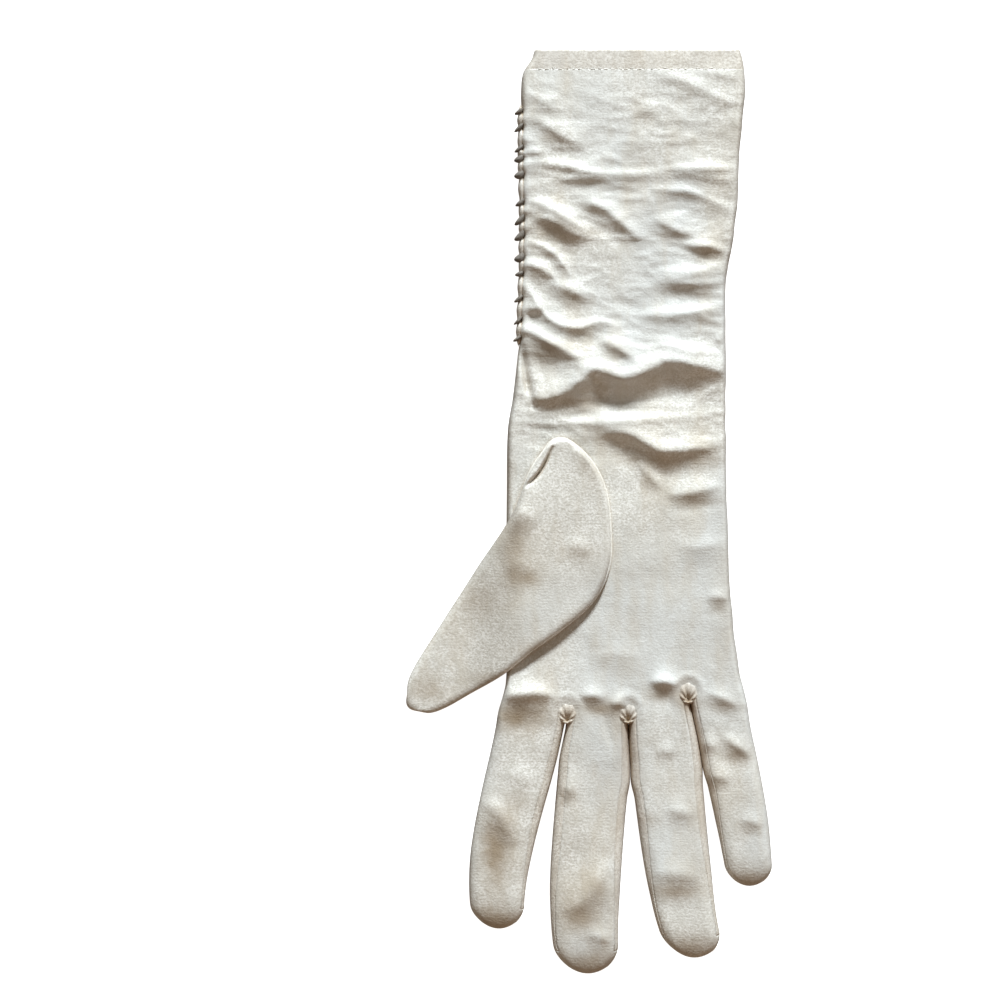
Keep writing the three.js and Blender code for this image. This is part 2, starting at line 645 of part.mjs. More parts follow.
function buildGlove() {
  const glove = new THREE.Group();
  const cloth = satin(0xded9cc, 0.4);
  const seam = satin(0xd6cfc0, 0.5);

  const trank = trankSheets();
  const whole = solidOf(wallWithRims(trank.sheets, [trank.mouth], WALL));
  let front = whole.subtract(thumbHole(0));
  crotches.forEach((_, i) => {
    const strip = whole.intersect(prism(stripOutline(i, 0), -1, CUT_DEPTH));
    front = front.subtract(prism(stripOutline(i, SEAM_GAP), -1, CUT_DEPTH));
    const name = `fourchette_${FINGERS[i].name}_${FINGERS[i + 1].name}`;
    glove.add(meshOf(name, geometryFrom(strip.add(knot(i))), seam));
  });
  glove.add(meshOf("trank", geometryFrom(front), cloth));

  const thumb = thumbSheets();
  const thumbInside = geometryOf(innerPoints(thumb.points, thumb.faces, WALL), thumb.faces);
  const thumbSolid = solidOf(geometryOf(thumb.points, thumb.faces))
    .subtract(solidOf(thumbInside))
    .subtract(trankForm(trank, SEAM_GAP))
    .subtract(thumbHole(0));
  glove.add(meshOf("thumb", geometryFrom(thumbSolid), cloth));

  glove.add(meshOf("hem_band", hemGeometry(), seam));
  glove.add(meshOf("ruched_seam", rucheGeometry(), seam));

  const box = new THREE.Box3().setFromObject(glove);
  const middle = box.getCenter(new THREE.Vector3());
  glove.position.set(-middle.x, -middle.y, -box.min.z);
  return glove;
}

export default buildGlove();
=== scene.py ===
"""The looks of a ruched satin evening glove that lies on a white surface with its palm up.

Lengths in the tables are in millimetres. A drawing point is (across, down) on squares of 0.32 mm, counted
from the middle line of the arm and from the mouth.
"""

import math

import bpy
import numpy as np
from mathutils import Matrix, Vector, noise


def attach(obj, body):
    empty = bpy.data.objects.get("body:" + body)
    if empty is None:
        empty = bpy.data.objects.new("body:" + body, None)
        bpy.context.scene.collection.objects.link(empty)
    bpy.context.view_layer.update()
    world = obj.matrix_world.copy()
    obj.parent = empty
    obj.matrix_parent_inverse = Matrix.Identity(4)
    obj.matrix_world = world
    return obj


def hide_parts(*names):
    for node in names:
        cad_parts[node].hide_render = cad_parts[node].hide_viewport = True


bpy.ops.wm.read_factory_settings(use_empty=True)
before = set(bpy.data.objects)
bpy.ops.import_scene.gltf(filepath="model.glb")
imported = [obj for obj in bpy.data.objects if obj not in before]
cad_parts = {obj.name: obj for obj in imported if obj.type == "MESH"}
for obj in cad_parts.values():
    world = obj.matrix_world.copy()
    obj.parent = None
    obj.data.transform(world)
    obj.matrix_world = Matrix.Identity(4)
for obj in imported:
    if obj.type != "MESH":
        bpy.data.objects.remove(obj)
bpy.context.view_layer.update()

SQUARE = 0.32
MIDDLE_X = 9.14
MOUTH_Y = 147.9

MOUTH_WIDTH = 71.4
WRIST_WIDTH = 69.8
KNUCKLE_WIDTH = 79.5
SLEEVE_LENGTH = 111.0
HAND_LENGTH = 101.0
ARM_LENGTH = SLEEVE_LENGTH + HAND_LENGTH
SLEEVE_LOFT = 7.6
HAND_LOFT = 7.4
FINGER_LOFT = 6.6
HEM_DEPTH = 7.0
EDGE_SHARE = 0.45
EDGE_ROUND = 1.9
TIP_ROUND = 11.0
FINGER_GAP = 0.5
# How far below each crotch the two fingers part. Above that they lie side by side.
PARTING = [0.5, 24, 27]
CLOTH = 0.8
THUMB_LOFT = 3.0
THUMB_LENGTH = 103
HEM_CLOTH = 1.3
STITCH_DOWN = HEM_DEPTH - 0.8
STITCH_HALF = 0.65
THREAD_RADIUS = 0.12
KNOT_ACROSS = 3.4
KNOT_ALONG = 3.9
KNOT_SINK = 1.6

# Each row: down, left, right, loft.
ARM_ROWS = [
    (0, -0.37 * MOUTH_WIDTH, 0.553 * MOUTH_WIDTH, 0.9 * SLEEVE_LOFT),
    (2.8, -0.383 * MOUTH_WIDTH, 0.564 * MOUTH_WIDTH, 0.9 * SLEEVE_LOFT),
    (7.2, -0.421 * MOUTH_WIDTH, 0.576 * MOUTH_WIDTH, 0.93 * SLEEVE_LOFT),
    (13.3, -0.43 * MOUTH_WIDTH, 0.574 * MOUTH_WIDTH, 0.97 * SLEEVE_LOFT),
    (32.2, -0.43 * MOUTH_WIDTH, 0.552 * MOUTH_WIDTH, SLEEVE_LOFT),
    (47.7, -0.426 * MOUTH_WIDTH, 0.543 * MOUTH_WIDTH, SLEEVE_LOFT),
    (63.3, -0.436 * WRIST_WIDTH, 0.528 * WRIST_WIDTH, SLEEVE_LOFT),
    (74.4, -0.44 * WRIST_WIDTH, 0.502 * WRIST_WIDTH, SLEEVE_LOFT),
    (93.2, -0.45 * WRIST_WIDTH, 0.5 * WRIST_WIDTH, SLEEVE_LOFT),
    (111, -0.477 * WRIST_WIDTH, 0.5 * WRIST_WIDTH, 0.97 * SLEEVE_LOFT),
    (121.1, -0.5 * WRIST_WIDTH, 0.5 * WRIST_WIDTH, HAND_LOFT),
    (141.3, -0.505 * WRIST_WIDTH, 0.505 * WRIST_WIDTH, HAND_LOFT),
    (175.6, -0.447 * KNUCKLE_WIDTH, 0.459 * KNUCKLE_WIDTH, HAND_LOFT),
    (201.9, -0.447 * KNUCKLE_WIDTH, 0.491 * KNUCKLE_WIDTH, HAND_LOFT),
    (212, -0.479 * KNUCKLE_WIDTH, 0.523 * KNUCKLE_WIDTH, HAND_LOFT),
]

# Ends of the finger roots: across, rise above the end of the hand.
ROOTS = [(-38.1, 0), (-16.0, 0), (3.5, 0), (22.7, 6.36), (41.6, 3.8)]

# Each row: length, width, lean, bow, taper.
FINGERS = [
    (69.4, 22.1, -10.7, -3.0, 0.14),
    (83.8, 23.0, -3.0, -1.9, 0.02),
    (81.9, 22.7, 11.8, -1.2, 0.08),
    (60.8, 18.2, 10.4, 1.1, 0.09),
]

# Each row: share of the finger's length, and the width and loft there as shares of its own.
FINGER_ROWS = [
    (0, 0.97, 1),
    (0.15, 0.99, 1),
    (0.4, 1, 1),
    (0.65, 1, 0.97),
    (0.8, 0.96, 0.95),
    (0.9, 0.93, 0.92),
    (1, 0.9, 0.86),
]
TIP_DOME = 0.1

# The thumb: its middle line's four pull points, in drawing squares, and rows of the share of its length and
# how far it reaches on its left and right there.
THUMB_LINE = [(-59, 394), (-15, 495), (-112, 590), (-205, 654)]
THUMB_ROWS = [
    (0, 4.6, 3.4),
    (0.012, 6.6, 4.3),
    (0.03, 9.0, 5.6),
    (0.08, 12.8, 8.6),
    (0.15, 15.2, 11.5),
    (0.25, 17, 14.1),
    (0.35, 18.3, 17.3),
    (0.45, 19.2, 17.6),
    (0.55, 19.2, 14.7),
    (0.65, 17.9, 11.8),
    (0.75, 15.7, 10.6),
    (0.85, 12.5, 8.6),
    (0.93, 9.3, 7.3),
    (0.975, 6.4, 5.7),
    (1, 3, 3),
]

# Where the stitches of the ruched seam pull it in, in squares from the mouth, and how big each tuck is.
GATHERS = [
    (62, 0.85),
    (78, 1.0),
    (99, 0.9),
    (109, 1.15),
    (125, 1.25),
    (153, 0.95),
    (170, 1.35),
    (186, 1.4),
    (208, 1.35),
    (224, 0.8),
    (249, 0.9),
    (271, 0.8),
    (289, 0.7),
]

# Folds. Each is a crest along its points, in drawing squares, with its height, and how far it falls away on
# its mouth side and its finger side. A crest that steps down fast on its finger side lies in shade there.
FOLDS = [
    # the sleeve, from the mouth
    ([(-84, 53), (-69, 55), (-54, 60)], 0.5, 4, 1.7),
    ([(19, 60), (33, 62), (47, 67)], 0.4, 4, 1.7),
    ([(28, 22), (70, 33), (118, 55)], 0.7, 3, 3),
    ([(80, 23), (103, 25), (123, 28)], 0.5, 3, 2),
    ([(-86, 70), (-75, 74), (-61, 83), (-45, 92), (-28, 100)], 1.0, 4.5, 2.4),
    ([(-93, 101), (-80, 103), (-68, 107)], 0.5, 3, 1.5),
    ([(-30, 112), (-10, 109), (9, 113)], 0.5, 2, 2),
    ([(-92, 112), (-57, 116), (-17, 124), (20, 125), (48, 123)], 1.0, 2, 2.2),
    ([(36, 121), (75, 119), (124, 121)], 1.0, 2, 4.2),
    ([(-90, 137), (-57, 130), (-37, 128), (-12, 130), (6, 137)], 0.4, 1.6, 2.2),
    ([(28, 141), (63, 141), (84, 147), (120, 162)], 0.9, 2, 2.6),
    ([(-47, 152), (-27, 154), (-11, 161), (2, 172), (16, 184), (30, 192)], 1.3, 3.5, 2.3),
    ([(-91, 152), (-72, 156), (-56, 165), (-40, 176), (-26, 186)], 1.6, 2.2, 3.2),
    ([(-88, 165), (-72, 169), (-57, 176), (-42, 184), (-27, 190)], 1.3, 3, 3.1),
    ([(34, 168), (48, 175), (63, 182), (82, 186)], 1.1, 4, 2.1),
    ([(-90, 191), (-67, 201), (-56, 212), (-46, 228)], 1.0, 1.6, 1.5),
    ([(-95, 213), (-82, 217), (-68, 224), (-60, 231)], 1.2, 2.5, 2.2),
    ([(64, 196), (80, 197), (95, 198), (109, 202)], 1.2, 3, 2.2),
    ([(38, 223), (83, 221), (112, 212)], 0.9, 2, 3),
    ([(34, 232), (58, 233), (84, 235), (108, 232)], 1.2, 4, 2.6),
    ([(20, 264), (63, 264), (110, 257)], 1.3, 2.5, 4.5),
    ([(-94, 232), (-82, 250), (-72, 265), (-57, 275), (-39, 278), (-17, 272), (6, 280)], 1.3, 1.9, 2),
    ([(-70, 234), (-55, 238), (-39, 244), (-22, 251)], 1.2, 4, 2.4),
    ([(-91, 258), (-83, 259), (-75, 263)], 0.5, 2, 1.5),
    ([(32, 291), (63, 299), (105, 305)], 0.9, 2.2, 2.4),
    ([(95, 288), (108, 291)], 0.5, 2, 1.5),
    ([(-96, 279), (-77, 287), (-61, 296), (-45, 305), (-31, 313)], 2.1, 3.5, 3.4),
    ([(-20, 291), (-7, 295), (6, 302), (20, 312)], 1.7, 4, 2.3),
    ([(-104, 374), (-57, 373), (-17, 373), (33, 369), (90, 367)], 1.1, 2.5, 4),
    ([(-22, 384), (0, 382), (16, 386), (30, 394), (44, 400), (73, 399), (107, 394)], 2.3, 5, 3.4),
    ([(19, 412), (31, 424), (45, 440)], 0.7, 3, 1.8),
    ([(48, 446), (73, 443), (105, 436)], 1.0, 4, 2.2),
    # the palm
    ([(60, 498), (83, 496), (108, 493)], 0.4, 3, 3),
    ([(88, 548), (101, 547), (113, 550)], 0.6, 3, 2),
    ([(-28, 607), (0, 604), (25, 606)], 0.3, 4, 4),
    ([(-120, 647), (-102, 644), (-82, 642), (-58, 647)], 1.8, 3, 4.2),
    ([(-40, 647), (-25, 645), (-10, 649)], 1.0, 3, 2.2),
    ([(-11, 653), (2, 653), (12, 656)], 0.8, 3, 2),
    ([(31, 632), (47, 631), (62, 635)], 1.6, 3, 2.8),
    ([(87, 642), (103, 647), (124, 658)], 0.8, 3, 2),
    # index
    ([(-141, 748), (-124, 757), (-112, 772), (-105, 797)], 1.0, 4, 4.4),
    ([(-112, 722), (-97, 725), (-82, 732)], 0.5, 4, 5),
    # middle
    ([(-60, 738), (-50, 738), (-39, 743)], 0.6, 3, 2.5),
    ([(-3, 812), (-16, 824), (-26, 842), (-43, 856), (-57, 862)], 1.2, 5, 4.6),
    ([(-33, 886), (-18, 886), (-4, 892)], 0.6, 3, 2.5),
    # ring
    ([(37, 701), (49, 700), (61, 704)], 0.5, 3, 2.2),
    ([(48, 762), (63, 761), (76, 768)], 0.6, 3, 2.6),
    ([(34, 823), (58, 823), (84, 828)], 1.0, 6, 4.6),
    # little
    ([(82, 694), (91, 694), (100, 700)], 0.6, 3, 2),
    ([(92, 727), (103, 727), (112, 733)], 0.5, 3, 2),
    ([(104, 686), (118, 694), (134, 708)], 1.0, 3, 2.6),
    ([(122, 769), (135, 771), (146, 778)], 0.5, 3, 2.4),
]

# The long step at the wrist, in the same form. Its ends are blunt.
WRIST_STEP = [
    (
        [(-90, 349), (-80, 349), (-67, 348), (-52, 341), (-37, 331), (-27, 321), (-12, 322), (8, 327),
         (33, 318), (50, 312), (83, 317), (110, 322)],
        3.3, 7, 4.2,
    ),
]

# Painted shade under folds and at the knots, and wear, as brown patches: middle, reach across and along, and
# how far.
PAINTED_SHADE_AND_WEAR = [
    (-101, 666, 26, 17, 1.0),
    (-17, 658, 20, 8, 0.8),
    (10, 690, 8, 24, 0.4),
    (46, 643, 16, 8, 0.7),
    (72, 656, 9, 9, 0.6),
    (105, 655, 15, 7, 0.5),
    (119, 705, 12, 9, 0.6),
    (87, 703, 6, 12, 0.5),
    (97, 733, 9, 9, 0.6),
    (-52, 745, 8, 10, 0.4),
    (-122, 800, 15, 38, 1.0),
    (-110, 765, 8, 20, 0.4),
    (-97, 752, 11, 14, 0.35),
    (-122, 870, 24, 12, 0.85),
    (-38, 866, 20, 17, 0.8),
    (-20, 838, 12, 12, 0.5),
    (-28, 914, 26, 12, 0.72),
    (58, 841, 26, 8, 0.7),
    (30, 770, 10, 10, 0.4),
    (72, 898, 24, 11, 0.7),
    (131, 778, 12, 10, 0.35),
    (131, 830, 17, 9, 0.7),
    (101, 555, 9, 9, 0.4),
    (13, 525, 14, 8, 0.2),
    (-60, 150, 9, 6, 0.25),
    (0, 140, 170, 120, 0.08),
    (-40, 353, 34, 8, 0.6),
    (50, 331, 40, 8, 0.2),
    (-50, 666, 10, 10, 0.75),
    (10, 670, 10, 10, 0.75),
    (70, 648, 10, 10, 0.75),
    (20, 408, 24, 9, 0.5),
    (72, 410, 28, 6, 0.5),
    (77, 451, 22, 5, 0.45),
    (30, 430, 9, 12, 0.3),
    (-64, 182, 26, 9, 0.5),
    (-26, 183, 14, 6, 0.3),
    (56, 186, 17, 7, 0.35),
    (90, 206, 12, 5, 0.4),
    (68, 243, 24, 6, 0.4),
    (-64, 300, 26, 12, 0.5),
    (3, 303, 12, 9, 0.35),
    (-78, 223, 12, 7, 0.4),
    (-50, 250, 10, 8, 0.25),
    (-66, 88, 10, 6, 0.4),
    (-48, 800, 22, 60, 0.14),
    (74, 790, 20, 70, 0.12),
    (110, 585, 14, 50, 0.18),
]
# Painted shade and wear on the thumb, in the same form; several rows darken its lower edge and its dents.
THUMB_PAINTED_SHADE_AND_WEAR = [
    (-90, 540, 160, 160, 0.13),
    (-102, 490, 14, 32, 0.55),
    (-91, 527, 13, 9, 0.75),
    (-140, 550, 24, 20, 0.4),
    (-40, 502, 16, 8, 0.4),
    (-24, 420, 9, 20, 0.35),
    (-27, 562, 14, 9, 0.4),
    (-45, 575, 14, 10, 0.4),
    (-79, 600, 24, 9, 0.45),
    (-125, 630, 24, 9, 0.5),
    (-106, 520, 10, 20, 0.5),
    (-190, 640, 20, 14, 0.5),
]

# Soft dents and ridges of the thumb, in the same form.
THUMB_FOLDS = [
    ([(-118, 470), (-98, 464), (-78, 474)], 0.8, 5, 6),
    ([(-116, 518), (-98, 515), (-78, 521)], 0.35, 5, 5),
    ([(-51, 402), (-37, 403), (-22, 413)], 0.4, 3, 5),
    ([(-51, 498), (-40, 497), (-26, 500)], 0.4, 3, 3),
]

# The open pleat beside the thumb's root: its lip, from the top down.
THUMB_SLIT = [(-64, 395), (-69, 407), (-79, 424), (-92, 437)]

# Sharp creases: points, depth, half width.
CREASES = [
    ([(-96, 293), (-92, 322), (-88, 342), (-82, 361)], 2.0, 1.2),
    ([(-16, 660), (-11, 675), (-4, 698)], 0.5, 0.8),
]

ARM_COLUMNS = 26
ARM_STEPS = 262
FINGER_STEPS = 84
# A side strip takes this many columns of a finger, down to this row.
STRIP_COLUMN = 4
STRIP_ROWS = 72
STRIP_NAMES = ["index_middle", "middle_ring", "ring_little"]
# The inner side of the cloth keeps every fourth row and every second column.
ROW_STEP = 4
COLUMN_STEP = 2
THUMB_COLUMNS = 56
THUMB_STEPS = 150


def ease(t):
    t = np.clip(t, 0, 1)
    return t * t * (3 - 2 * t)


def arch(t):
    return np.sqrt(1 - (1 - np.clip(t, 0, 1)) ** 2)


def lerp(a, b, t):
    return a + (b - a) * t


def through(rows, column, place):
    """A smooth curve through one column of a table, against its first column."""
    at = np.array([r[0] for r in rows], float)
    value = np.array([r[column] for r in rows], float)
    before = np.r_[0, np.arange(len(at) - 1)]
    after = np.r_[np.arange(1, len(at)), len(at) - 1]
    slope = (value[after] - value[before]) / (at[after] - at[before])
    place = np.clip(np.asarray(place, float), at[0], at[-1])
    i = np.clip(np.searchsorted(at, place, side="right") - 1, 0, len(at) - 2)
    span = at[i + 1] - at[i]
    t = (place - at[i]) / span
    stay = (1 + 2 * t) * (1 - t) ** 2
    return (
        stay * value[i]
        + (1 - stay) * value[i + 1]
        + span * t * (1 - t) * ((1 - t) * slope[i] - t * slope[i + 1])
    )


def smooth_line(points, steps=10):
    """A polyline in millimetres through drawing points, rounded between them."""
    p = np.array(points, float) * SQUARE
    p[:, 1] *= -1
    s = np.r_[0, np.cumsum(np.hypot(*np.diff(p, axis=0).T))]
    fine = np.linspace(0, s[-1], (len(p) - 1) * steps + 1)
    rows = [(s[k], p[k, 0], p[k, 1]) for k in range(len(p))]
    return np.stack([through(rows, 1, fine), through(rows, 2, fine)], axis=1)


def beside(line, x, y):
    """Signed distance from a polyline, above 0 on its finger side, and the share along it."""
    a, b = line[:-1], line[1:]
    d = b - a
    length = np.hypot(d[:, 0], d[:, 1])
    start = np.r_[0, np.cumsum(length)[:-1]]
    px = x[:, None] - a[None, :, 0]
    py = y[:, None] - a[None, :, 1]
    t = np.clip((px * d[:, 0] + py * d[:, 1]) / (length**2), 0, 1)
    qx = px - t * d[:, 0]
    qy = py - t * d[:, 1]
    gap = np.hypot(qx, qy)
    k = np.argmin(gap, axis=1)
    n = np.arange(len(x))
    cross = d[k, 0] * qy[n, k] - d[k, 1] * qx[n, k]
    share = (start[k] + t[n, k] * length[k]) / (start[-1] + length[-1])
    return np.where(cross < 0, 1.0, -1.0) * gap[n, k], share


def fold_field(folds, x, y, taper=1.0):
    """How far the folds lift the cloth at points of the plan. A lower taper leaves them blunt ends."""
    x, y = np.broadcast_arrays(x, y)
    shape = x.shape
    x, y = x.ravel(), y.ravel()
    lift = np.zeros(len(x))
    for points, height, up, down in folds:
        line = smooth_line(points)
        reach = 4 * max(up, down)
        near = (
            (x > line[:, 0].min() - reach)
            & (x < line[:, 0].max() + reach)
            & (y > line[:, 1].min() - reach)
            & (y < line[:, 1].max() + reach)
        )
        if not near.any():
            continue
        s, share = beside(line, x[near], y[near])
        fade = np.sin(np.pi * np.clip(share, 0.0, 1.0)) ** taper
        wide = np.where(s < 0, up, down) * (0.6 + 0.4 * fade)
        crest = np.exp(-1.5 * (np.sqrt((s / wide) ** 2 + 0.12) - 0.346))
        hollow = 0.2 * np.exp(-(((s - 2.3 * down) / (0.9 * down)) ** 2))
        lift[near] += 1.45 * height * fade * (crest - hollow)
    return lift.reshape(shape)


def crease_field(x, y):
    x, y = np.broadcast_arrays(x, y)
    shape = x.shape
    x, y = x.ravel(), y.ravel()
    drop = np.zeros(len(x))
    for points, depth, half in CREASES:
        s, share = beside(smooth_line(points), x, y)
        drop -= depth * np.sin(np.pi * share) ** 0.6 * np.exp(-((s / half) ** 2))
    return drop.reshape(shape)


def waver(x, y, scale_x, scale_y, seed):
    """Smooth noise between about -1 and 1 at points of the plan."""
    x, y = np.broadcast_arrays(x, y)
    out = [noise.noise(Vector((a / scale_x, b / scale_y, seed))) for a, b in zip(x.ravel(), y.ravel())]
    return np.array(out).reshape(x.shape)


def arm_at(down):
    return tuple(through(ARM_ROWS, k, down) for k in (1, 2, 3))


GATHER_AT = np.array([at for at, _ in GATHERS]) * SQUARE


def gather_phase(down):
    """0, 1, 2 and so on at the stitches of the ruched seam, and between them part of the way."""
    return np.interp(down, GATHER_AT, np.arange(len(GATHER_AT)))


def gather_wave(down):
    """1 halfway between two stitches and -1 at each, fading out past the last ones."""
    inside = ease((down - GATHER_AT[0] + 5) / 5) * ease((GATHER_AT[-1] + 6 - down) / 6)
    return -np.cos(2 * np.pi * gather_phase(down)) * inside


def root_rise(x):
    return np.interp(x, [p[0] for p in ROOTS], [p[1] for p in ROOTS])


def column_shares(count):
    even = np.linspace(0, 1, count + 1)
    return lerp(even, (1 - np.cos(np.pi * even)) / 2, 0.4)


def finger_root(i):
    a, b = ROOTS[i], ROOTS[i + 1]
    return (a[0] + b[0]) / 2, (a[1] + b[1]) / 2 - ARM_LENGTH


def free_edges(i, t):
    length, width, lean, bow, taper = FINGERS[i]
    x = finger_root(i)[0]
    bend = lean * t + bow * 6.75 * t * t * (1 - t)
    half = width * (through(FINGER_ROWS, 1, t) - taper * ease((t - 0.15) / 0.75)) / 2
    radius = width * (0.95 - taper) / 2
    past = np.clip(1 + ((t - 1) * length - TIP_DOME * width) / radius, 0, 1)
    half = half * np.sqrt(1 - past**2.1)
    own = ease(t / 0.2)
    left = lerp(ROOTS[i][0] + bend, x + bend - half, own)
    right = lerp(ROOTS[i + 1][0] + bend, x + bend + half, own)
    return left, right


def finger_edges(i, t):
    y = finger_root(i)[1] - FINGERS[i][0] * t
    left, right = free_edges(i, t)
    own_left, own_right = left.copy(), right.copy()
    for k, sign in ((i + 1, 1), (i - 1, -1)):
        if k < 0 or k >= len(FINGERS):
            continue
        at = (finger_root(k)[1] - y) / FINGERS[k][0]
        other = free_edges(k, np.clip(at, 0, 1))[0 if sign > 0 else 1]
        crotch = ROOTS[max(i, k)][1] - ARM_LENGTH
        parting = PARTING[max(i, k) - 1]
        gap = 0.04 + np.minimum(FINGER_GAP, np.maximum(crotch - parting - y, 0) * 0.1)
        mine = own_right if sign > 0 else own_left
        limit = (mine + other) / 2 - sign * gap / 2
        together = 1 - ease((crotch - y - parting + 4) / 8)
        use = (at <= 1) & (t > 0)
        if sign > 0:
            right = np.where(use, np.minimum(lerp(right, limit, together), limit), right)
        else:
            left = np.where(use, np.maximum(lerp(left, limit, together), limit), left)
    return left, right


class Cloth:
    """Vertices and faces of pieces that share one skin. Each face is filed under a piece's name."""

    def __init__(self):
        self.points = []
        self.count = 0
        self.faces = {}

    def add(self, xyz):
        xyz = np.asarray(xyz, float)
        ids = np.arange(self.count, self.count + xyz.reshape(-1, 3).shape[0]).reshape(xyz.shape[:-1])
        self.points.append(xyz.reshape(-1, 3))
        self.count += ids.size
        return ids

    def two_sides(self, x, y, front, back):
        """Adds the upper and under sides of lying cloth, which meet along both its long edges."""
        top, under = (self.add(np.stack([x, y, z], axis=-1)) for z in (front, back))
        under[:, 0], under[:, -1] = top[:, 0], top[:, -1]
        return top, under

    def quads(self, ids, name, flip=False):
        a, b, c, d = ids[:-1, :-1], ids[1:, :-1], ids[1:, 1:], ids[:-1, 1:]
        f = np.stack([a, b, c, d] if not flip else [a, d, c, b], axis=-1).reshape(-1, 4)
        self.faces.setdefault(name, []).extend(f.tolist())

    def face(self, name, faces):
        self.faces.setdefault(name, []).extend(faces)

    def piece(self, name, more=()):
        points = np.vstack(self.points)
        faces = self.faces.get(f"{name} rim", []) + self.faces[name]
        used = np.unique(np.concatenate([np.array(f) for f in faces]))
        place = np.full(len(points), -1)
        place[used] = np.arange(len(used))
        verts = [points[used]]
        out = [[int(place[k]) for k in f] for f in faces]
        total = len(used)
        for extra_points, extra_faces in more:
            verts.append(np.asarray(extra_points, float))
            out += [[k + total for k in f] for f in extra_faces]
            total += len(extra_points)
        return np.vstack(verts), out

    def rim_count(self, name):
        return len(self.faces[f"{name} rim"])


def shade_and_wear_amount(points, shade_and_wear_patches):
    """How far each vertex is browned by painted shade and wear, from 0 to 1, in soft patches set by place on
    the plan.
    """
    x, y = points[:, 0] / SQUARE, -points[:, 1] / SQUARE
    clear = np.ones(len(points))
    for cx, cy, across, along, strength in shade_and_wear_patches:
        r = np.hypot((x - cx) / across, (y - cy) / along)
        ragged = 0.22 * waver(x, y, 9, 9, 0.5 * cx)
        clear *= 1 - strength * np.exp(-((r + ragged) ** 2))
    return 1 - clear


def mesh_object(name, points, faces, material, shade_and_wear_patches=(), flat=0):
    """Turns millimetres from the mouth's middle into metres. The first faces may be shaded flat."""
    p = (np.asarray(points, float) + np.array([MIDDLE_X, MOUTH_Y, 0])) / 1000
    mesh = bpy.data.meshes.new(name)
    mesh.from_pydata(p.tolist(), [], faces)
    mesh.polygons.foreach_set("use_smooth", [k >= flat for k in range(len(mesh.polygons))])
    mesh.validate()
    # Painted shade and wear, stored on each vertex for the satin to brown.
    if shade_and_wear_patches:
        painted_shade_and_wear = mesh.attributes.new("painted_shade_and_wear", "FLOAT", "POINT")
        painted_shade_and_wear.data.foreach_set("value", shade_and_wear_amount(np.asarray(points, float), shade_and_wear_patches))
    mesh.materials.append(material)
    mesh.update()
    obj = bpy.data.objects.new(name, mesh)
    bpy.context.scene.collection.objects.link(obj)
    return obj


# ---------------------------------------------------------------- the hand's skin


def edge_bulge(x, left, down):
    """The arm's left outline is drawn in at each stitch of the ruched seam."""
    inward = 1 - np.clip((x - left) / 4, 0, 1)
    return -0.3 * gather_wave(down) * inward


def skin_height(from_edge, loft, round_, tip=None):
    """Front and back heights of the lying cloth before the folds."""
    full = arch(from_edge / round_)
    if tip is not None:
        full = full * arch(tip / TIP_ROUND) ** 0.8
    middle = EDGE_SHARE * loft
    return middle + (loft - middle) * full, middle * (1 - full), full


def surface_detail(x, y, full):
    """Folds, gathers and the slight unevenness of the front."""
    down = -y
    left = through(ARM_ROWS, 1, down)
    sleeve = ease((down - 6) / 10) * (1 - ease((down - 122) / 14))
    fold = fold_field(FOLDS, x, y) + fold_field(WRIST_STEP, x, y, 0.4) + crease_field(x, y)
    gather = 0.3 * np.exp(-np.maximum(x - left, 0) / 4.5) * gather_wave(down + 0.12 * (x - left))
    slight = 0.16 * sleeve * waver(x, y, 11, 3.6, 1.7) + 0.3 * waver(x, y, 14, 11, 5.1)
    slight += (0.05 + 0.1 * sleeve) * waver(x, y, 3.5, 1.6, 9.3)
    ripple = np.sin(2.2 * x + 1.5 * np.sin(0.31 * x)) + 0.5 * np.sin(3.7 * x)
    pucker = np.exp(-(((down - HEM_DEPTH) / 1.7) ** 2)) * ripple
    slight += 0.13 * pucker
    crease = np.clip(1 - 3.2 * np.abs(waver(x + 0.6 * y, y, 15, 4.2, 4.6)), 0, 1) ** 2
    slight += 0.26 * sleeve * crease
    rims = np.zeros_like(x)
    for cx, rise in ROOTS[1:-1]:
        cy = rise - ARM_LENGTH + 0.2
        r = np.hypot(x - cx, (y - cy) / 1.15)
        ring = 0.4 * np.exp(-(((r - 4.6) / 1.1) ** 2)) - 0.2 * np.exp(-((r / 3.2) ** 2))
        rims += ring * ease((y - cy + 5) / 4)
    return (fold + gather + slight + rims) * (0.12 + 0.88 * full**1.5)


def arm_rows(start, end, count):
    shares = np.concatenate([column_shares(ARM_COLUMNS)[1 if i else 0 :] + i for i in range(len(FINGERS))])
    roots = np.interp(shares, np.arange(len(ROOTS)), [p[0] for p in ROOTS])
    root_share = (roots - roots[0]) / (roots[-1] - roots[0])
    even = np.linspace(0, 1, len(shares))
    plain = lerp(even, (1 - np.cos(np.pi * even)) / 2, 0.3)
    down = np.linspace(start, end, count + 1)[:, None]
    to_roots = ease((down - SLEEVE_LENGTH) / HAND_LENGTH)
    share = lerp(plain[None, :], root_share[None, :], to_roots)
    left, right, loft = arm_at(down)
    x = lerp(left, right, share)
    lift = ease((down - ARM_LENGTH + 0.5 * HAND_LENGTH) / (0.5 * HAND_LENGTH))
    y = -down + root_rise(x) * lift
    crotch = np.min([np.hypot(x - p[0], y - p[1] + ARM_LENGTH) * 1.6 for p in ROOTS[1:-1]], axis=0)
    from_edge = np.minimum(np.minimum(x - left, right - x), crotch)
    front, back, full = skin_height(from_edge, loft, EDGE_ROUND)
    front = front + surface_detail(x, y, full)
    x = x + edge_bulge(x, left, down)
    x = x + 0.3 * waver(np.full_like(y, 40), y, 8, 7, 6.6) * ease((x - right + 3) / 3)
    return x, y, front, back


